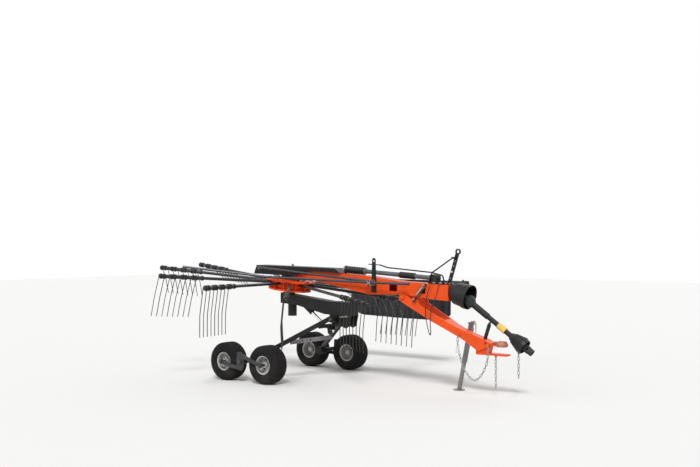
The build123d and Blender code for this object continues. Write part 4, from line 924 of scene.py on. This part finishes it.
class RAKE_OT_tines(bpy.types.Operator):
    """Sleeves, clamps and coiled double tines at the ends of the arms"""
    bl_idname = "rake.tines"
    bl_label = "Tines"

    def execute(self, context):
        sizes = context.scene.rake_sizes
        first = ARM_REACH - TINE_END_GAP - TINE_SPACING * (2 * TINE_PAIRS - 1)
        middles = [first + TINE_SPACING * (2 * pair + 0.5) for pair in range(TINE_PAIRS)]
        tines = mesh_of("tines", [self.tine(sizes, middle + side * TINE_SPACING / 2, side)
                                  for middle in middles for side in (-1, 1)])
        places = [(arm_place(index) @ turned(-lift, "X"), 1.0) for index, lift in enumerate(TINE_LIFT)]
        copies_at("dressed_tines", places, tines, "tine", "rotor", ["tine_carriers"])
        carrier = self.carrier(middles, sizes.bolt_head * CLAMP_BOLT_SHARE)
        copies_at("dressed_carriers", places, carrier, "tubes", "rotor")
        return {"FINISHED"}

    def tine(self, sizes, out, side):
        """One wire: its coil round the sleeve, then down with a gentle knee."""
        steps = int(sizes.coil_turns * COIL_STEPS)
        points = []
        for step in range(steps, -1, -1):
            turn = math.tau * step / COIL_STEPS
            x = out - side * COIL_LENGTH * step / steps
            points.append((x, -COIL_R * math.cos(turn), COIL_R * math.sin(turn)))
        for share in KNEE_POINTS:
            points.append((out, -COIL_R + TINE_SWEEP * share, -TINE_KNEE * share))
        for share in END_POINTS:
            drop = TINE_KNEE + (TINE_DROP - TINE_KNEE) * share
            points.append((out, -COIL_R + TINE_SWEEP + TINE_FORWARD * share ** TINE_BEND, -drop))
        return tube(points, sizes.tine_wire, TINE_FACETS)

    def carrier(self, middles, across):
        """Sleeve with its end cap and the bolted clamps that hold the coils, along X."""
        inner = ARM_REACH - CARRIER_LENGTH
        (inner_drop, inner_run), (outer_drop, outer_run) = SLEEVE_CHAMFERS
        profile = [(CARRIER_R - inner_drop, inner), (CARRIER_R, inner + inner_run),
                   (CARRIER_R, ARM_REACH - outer_run), (CARRIER_R - outer_drop, ARM_REACH)]
        sleeve = lathe(profile, SLEEVE_FACETS)
        collar = lathe([(COLLAR_R, inner + out) for out in COLLAR_SPAN], SLEEVE_FACETS)
        parts = [placed(part, turned(90, "Y")) for part in (sleeve, collar)]
        half = CLAMP_SIZE / 2
        wide = CLAMP_WIDTH / 2
        meshes = []
        for middle in middles:
            low, high = (middle - wide, -half, -half), (middle + wide, half, half)
            meshes.append(block("clamp", low, high, CLAMP_BEVEL))
            for turn in (0, 180):
                top = Matrix.Translation((middle, 0, 0)) @ turned(turn, "X")
                top = top @ Matrix.Translation((0, 0, half - CLAMP_BOLT_SINK))
                parts += [placed(part, top) for part in hex_head(across, CLAMP_BOLT_HEIGHT)]
        return joined("carrier", [mesh_of("sleeve", parts), *meshes])


class RAKE_OT_chains(bpy.types.Operator):
    """Round-wire links in the places of the construction's plain ones"""
    bl_idname = "rake.chains"
    bl_label = "Chains"

    def execute(self, context):
        link = mesh_of("link", [self.link(context.scene.rake_sizes.link_wire)])
        for node, body in CHAINS:
            copies_at(f"dressed_{node}", self.link_places(node), link, "zinc", body, [node])
        return {"FINISHED"}

    def link_places(self, node):
        """Matrix and size of each separate link: its middle, with X along it and Y across it."""
        work = bmesh.new()
        work.from_mesh(frame["nodes"][node].data)
        bmesh.ops.remove_doubles(work, verts=work.verts, dist=1e-5)
        waiting = set(work.verts)
        places = []
        while waiting:
            group = {waiting.pop()}
            edge = set(group)
            while edge:
                edge = {e.other_vert(v) for v in edge for e in v.link_edges} & waiting
                waiting -= edge
                group |= edge
            corners = numpy.array([v.co[:] for v in group])
            middle = (corners.min(axis=0) + corners.max(axis=0)) / 2
            spread, axes = numpy.linalg.eigh(numpy.cov((corners - middle).T))
            along, across = Vector(axes[:, 2]), Vector(axes[:, 1])
            turn = Matrix((along, across, along.cross(across))).transposed().to_4x4()
            places.append((Matrix.Translation(Vector(middle)) @ turn, 1.0))
        work.free()
        return sorted(places, key=lambda place: tuple(place[0].translation))

    def link(self, wire_r):
        """Oval ring of round wire in the XY plane."""
        reach = LINK_HALF_LENGTH - LINK_HALF_WIDTH
        points = []
        for end in (1, -1):
            for step in range(LINK_STEPS + 1):
                turn = math.pi * step / LINK_STEPS - math.pi / 2
                x = reach + LINK_HALF_WIDTH * math.cos(turn)
                points.append((end * x, end * LINK_HALF_WIDTH * math.sin(turn), 0))
        return tube(points, wire_r, LINK_FACETS, closed=True)


class RAKE_OT_curtain(bpy.types.Operator):
    """The swath curtain as a hung sheet with soft folds"""
    bl_idname = "rake.curtain"
    bl_label = "Curtain"

    def execute(self, context):
        wave = context.scene.rake_sizes.curtain_wave
        start = CURTAIN_LOWER[0][0]
        end = CURTAIN_LOWER[-1][0]
        vertices = []
        for column in range(CURTAIN_COLUMNS + 1):
            x = start + (end - start) * column / CURTAIN_COLUMNS
            low = float(numpy.interp(x, *zip(*CURTAIN_LOWER)))
            for row in range(CURTAIN_ROWS + 1):
                share = row / CURTAIN_ROWS
                y = CURTAIN_Y + wave * share ** FOLD_GROWTH * self.fold(x, share)
                vertices.append(at(x, y, CURTAIN_TOP + (low - CURTAIN_TOP) * share))
        faces = []
        for column in range(CURTAIN_COLUMNS):
            for row in range(CURTAIN_ROWS):
                here = column * (CURTAIN_ROWS + 1) + row
                there = here + CURTAIN_ROWS + 1
                faces.append((here, here + 1, there + 1, there))
        sheet = new_object("dressed_curtain", mesh_of("dressed_curtain", [(vertices, faces)]))
        thick = sheet.modifiers.new("Thickness", "SOLIDIFY")
        thick.thickness = CURTAIN_THICKNESS
        thick.offset = 0.0
        # Black rubber whose blue tint is a painted sheen
        dress(sheet, "curtain", "curtain", ["swath_curtain"])
        return {"FINISHED"}

    def fold(self, x, share):
        """Sum of a broad, a middle and a fine fold at x and a share of the drop."""
        return (0.40 * math.sin(x * 8.3 + 0.4) + 0.25 * math.sin(x * 27.0 + 1.1 + share)
                + 0.35 * math.sin(x * 61.0 + 2.0 * math.sin(x * 9.0) + 0.5 * share))


class RAKE_OT_bolts(bpy.types.Operator):
    """Bolt heads and nuts where pieces are held together"""
    bl_idname = "rake.bolts"
    bl_label = "Bolts"

    def execute(self, context):
        plain = context.scene.rake_sizes.bolt_head
        head = mesh_of("head", hex_head(plain, plain * HEAD_HEIGHT_SHARE))
        groups = {}
        for body, finish, place, across in self.places():
            groups.setdefault((body, finish), []).append((place, across / plain))
        for (body, finish), places in groups.items():
            copies_at(f"{finish}_bolts_{body}", places, head, finish, body)
        return {"FINISHED"}

    def places(self):
        """Rows of body, finish, place and size across the flats."""
        rows = []
        for body, finish, x, y, z, across in SIDE_BOLTS:
            for side in (-1, 1):
                rows.append((body, finish, facing(at(x, side * y, z), (0, side, 0)), across))
        for body, finish, way, across, spots in PLAIN_BOLTS:
            rows += [(body, finish, facing(at(*spot), way), across) for spot in spots]
        for index in range(CURTAIN_BOLTS):
            x, y, z = CURTAIN_BOLT_START
            x += CURTAIN_BOLT_RUN * index / (CURTAIN_BOLTS - 1)
            rows.append(("curtain", "zinc", facing(at(x, y, z), (0, 1, 0)), CURTAIN_BOLT_SIZE))
        for wheel, side, sign in WHEELS:
            low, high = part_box(f"rim_{wheel}")
            centre = (low + high) / 2
            nut = Vector((centre.x, ROTOR_AT.y + sign * AXLE_NUT_Y, centre.z))
            rows.append((f"bogie_{side}", "steel", facing(nut, (0, sign, 0)), AXLE_NUT_SIZE))
            for index in range(RIM_BOLTS):
                turn = math.tau * (index + RIM_BOLT_TURN) / RIM_BOLTS
                spot = centre + Vector((RIM_BOLT_CIRCLE * math.cos(turn), sign * RIM_BOLT_OUT,
                                        RIM_BOLT_CIRCLE * math.sin(turn)))
                rows.append((f"wheel_{wheel}", "steel", facing(spot, (0, sign, 0)), RIM_BOLT_SIZE))
        for body, finish, count, radius, height, across in RING_BOLTS:
            for index in range(count):
                turn = math.radians(-FIRST_ARM_ANGLE) + math.tau * (index + 0.5) / count
                spot = Matrix.Translation((radius * math.cos(turn), radius * math.sin(turn), height))
                rows.append((body, finish, rotor_place() @ spot, across))
        return rows


class RAKE_OT_fittings(bpy.types.Operator):
    """Turned fittings, rods, blocks, the rims' lips, the turnbuckle and the hitch's eye"""
    bl_idname = "rake.fittings"
    bl_label = "Fittings"

    def execute(self, context):
        for name, body, slot, finish, facets, start, way, profiles in FITTINGS:
            place = facing(at(*start), way)
            parts = [placed(lathe(profile, facets), place) for profile in profiles]
            dressed(name, mesh_of(name, parts), finish, body)
        for name, body, slot, finish, radius, points in RODS:
            rod = tube([at(*point) for point in points], radius, ROD_FACETS)
            dressed(name, mesh_of(name, [rod]), finish, body)
        for name, body, slot, finish, low, high, bevel, segments in BLOCKS:
            dressed(name, block(name, at(*low), at(*high), bevel, segments), finish, body)
        for wheel, side, sign in WHEELS:
            low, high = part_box(f"rim_{wheel}")
            place = facing((low + high) / 2, (0, sign, 0))
            lip = mesh_of("rim_lip", [placed(lathe(RIM_LIP, RIM_FACETS, closed=True), place)])
            outwards(lip)
            dressed(f"rim_lip_{wheel}", lip, "rim", f"wheel_{wheel}")
        self.turnbuckle()
        self.hitch_eye()
        return {"FINISHED"}

    def turnbuckle(self):
        """Two flat bars and two cross blocks round the tie's screw."""
        low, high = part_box("height_tie")
        (top_x, top_z), (low_x, low_z) = TIE_ENDS
        top = at(top_x, 0, top_z)
        way = at(low_x, 0, low_z) - top
        place = facing(Vector((top.x, (low.y + high.y) / 2, top.z)), way)
        start, end = (share * way.length for share in TURNBUCKLE_SHARES)
        half = TURNBUCKLE_GAP / 2
        wide = half + TURNBUCKLE_BAR
        corners = [((near, -TURNBUCKLE_BAR_HALF, start), (far, TURNBUCKLE_BAR_HALF, end))
                   for near, far in ((-wide, -half), (half, wide))]
        past_end = end + TURNBUCKLE_BLOCK_OUT
        for first in (start - TURNBUCKLE_BLOCK_OUT, past_end - TURNBUCKLE_BLOCK_LENGTH):
            corners.append(((-wide, -TURNBUCKLE_BLOCK_HALF, first),
                            (wide, TURNBUCKLE_BLOCK_HALF, first + TURNBUCKLE_BLOCK_LENGTH)))
        mesh = joined("turnbuckle", [block("bar", *pair, TURNBUCKLE_BEVEL) for pair in corners])
        mesh.transform(place)
        dressed("turnbuckle", mesh, "turnbuckle", "frame")

    def hitch_eye(self):
        """Rusty ring casting on the upper plate, with its shank towards the drawbar."""
        ring = lathe(EYE_RING, EYE_FACETS, closed=True)
        eye = mesh_of("ring", [placed(ring, Matrix.Translation(at(*EYE_AT)))])
        outwards(eye)
        low, high = EYE_SHANK
        shank = block("shank", at(*low), at(*high), EYE_BEVEL, 3)
        dressed("hitch_eye", joined("hitch_eye", [eye, shank]), "eye", "drawbar")


class RAKE_OT_stage(bpy.types.Operator):
    """Pale floor, white surroundings and soft studio light"""
    bl_idname = "rake.stage"
    bl_label = "Stage"

    def execute(self, context):
        corners = [(x * FLOOR_HALF, y * FLOOR_HALF, 0) for x, y in ((-1, -1), (1, -1), (1, 1), (-1, 1))]
        floor = new_object("floor", mesh_of("floor", [(corners, [(0, 1, 2, 3)])]))
        material = bpy.data.materials.new("Pale floor")
        material.use_nodes = True
        shader = material.node_tree.nodes["Principled BSDF"]
        fill(material.node_tree, shader.inputs, {"Base Color": FLOOR_COLOUR, "Roughness": FLOOR_ROUGHNESS})
        floor.data.materials.append(material)
        self.world(context)
        for name, place, angle, power in LAMPS:
            data = bpy.data.lights.new(name, "SUN")
            data.angle = math.radians(angle)
            data.energy = power
            lamp = new_object(name, data)
            lamp.location = place
            lamp.rotation_euler = (Vector(LAMP_AIM) - Vector(place)).to_track_quat("-Z", "Y").to_euler()
        context.scene.view_settings.view_transform = "Standard"
        return {"FINISHED"}

    def world(self, context):
        """World that lights softly and looks white to the camera and in reflections."""
        world = bpy.data.worlds.new("Studio")
        world.use_nodes = True
        tree = world.node_tree
        tree.nodes.clear()
        soft, white = [add_node(tree, "ShaderNodeBackground", {"Color": WORLD_COLOUR, "Strength": light})[0]
                       for light in (WORLD_LIGHT, WORLD_SEEN)]
        path = add_node(tree, "ShaderNodeLightPath", {})
        seen = clamped(tree, "ADD", path["Is Camera Ray"], path["Is Glossy Ray"])
        seen = clamped(tree, "ADD", seen, path["Is Transmission Ray"])
        mix = add_node(tree, "ShaderNodeMixShader", {"Fac": seen, 1: soft, 2: white})
        add_node(tree, "ShaderNodeOutputWorld", {"Surface": mix[0]})
        context.scene.world = world


class RAKE_PT_panel(bpy.types.Panel):
    """Sizes, colours and the steps that dress the rake"""
    bl_idname = "RAKE_PT_panel"
    bl_label = "Rake"
    bl_space_type = "VIEW_3D"
    bl_region_type = "UI"
    bl_category = "Rake"

    def draw(self, context):
        for settings in (context.scene.rake_sizes, context.scene.rake_colours):
            for name in settings.bl_rna.properties.keys():
                if name not in ("rna_type", "name"):
                    self.layout.prop(settings, name)
        for operator in STEPS:
            self.layout.operator(operator.bl_idname)


STEPS = (RAKE_OT_camera, RAKE_OT_paint, RAKE_OT_hose, RAKE_OT_tyres, RAKE_OT_tines, RAKE_OT_chains,
         RAKE_OT_curtain, RAKE_OT_bolts, RAKE_OT_fittings, RAKE_OT_stage)
CLASSES = (RakeSizes, RakeColours, *STEPS, RAKE_PT_panel)


def register():
    for part in CLASSES:
        bpy.utils.register_class(part)
    bpy.types.Scene.rake_sizes = bpy.props.PointerProperty(type=RakeSizes)
    bpy.types.Scene.rake_colours = bpy.props.PointerProperty(type=RakeColours)


def unregister():
    del bpy.types.Scene.rake_sizes
    del bpy.types.Scene.rake_colours
    for part in reversed(CLASSES):
        bpy.utils.unregister_class(part)


def main():
    register()
    for step in STEPS:
        group, name = step.bl_idname.split(".")
        getattr(getattr(bpy.ops, group), name)()


if __name__ == "__main__":
    main()
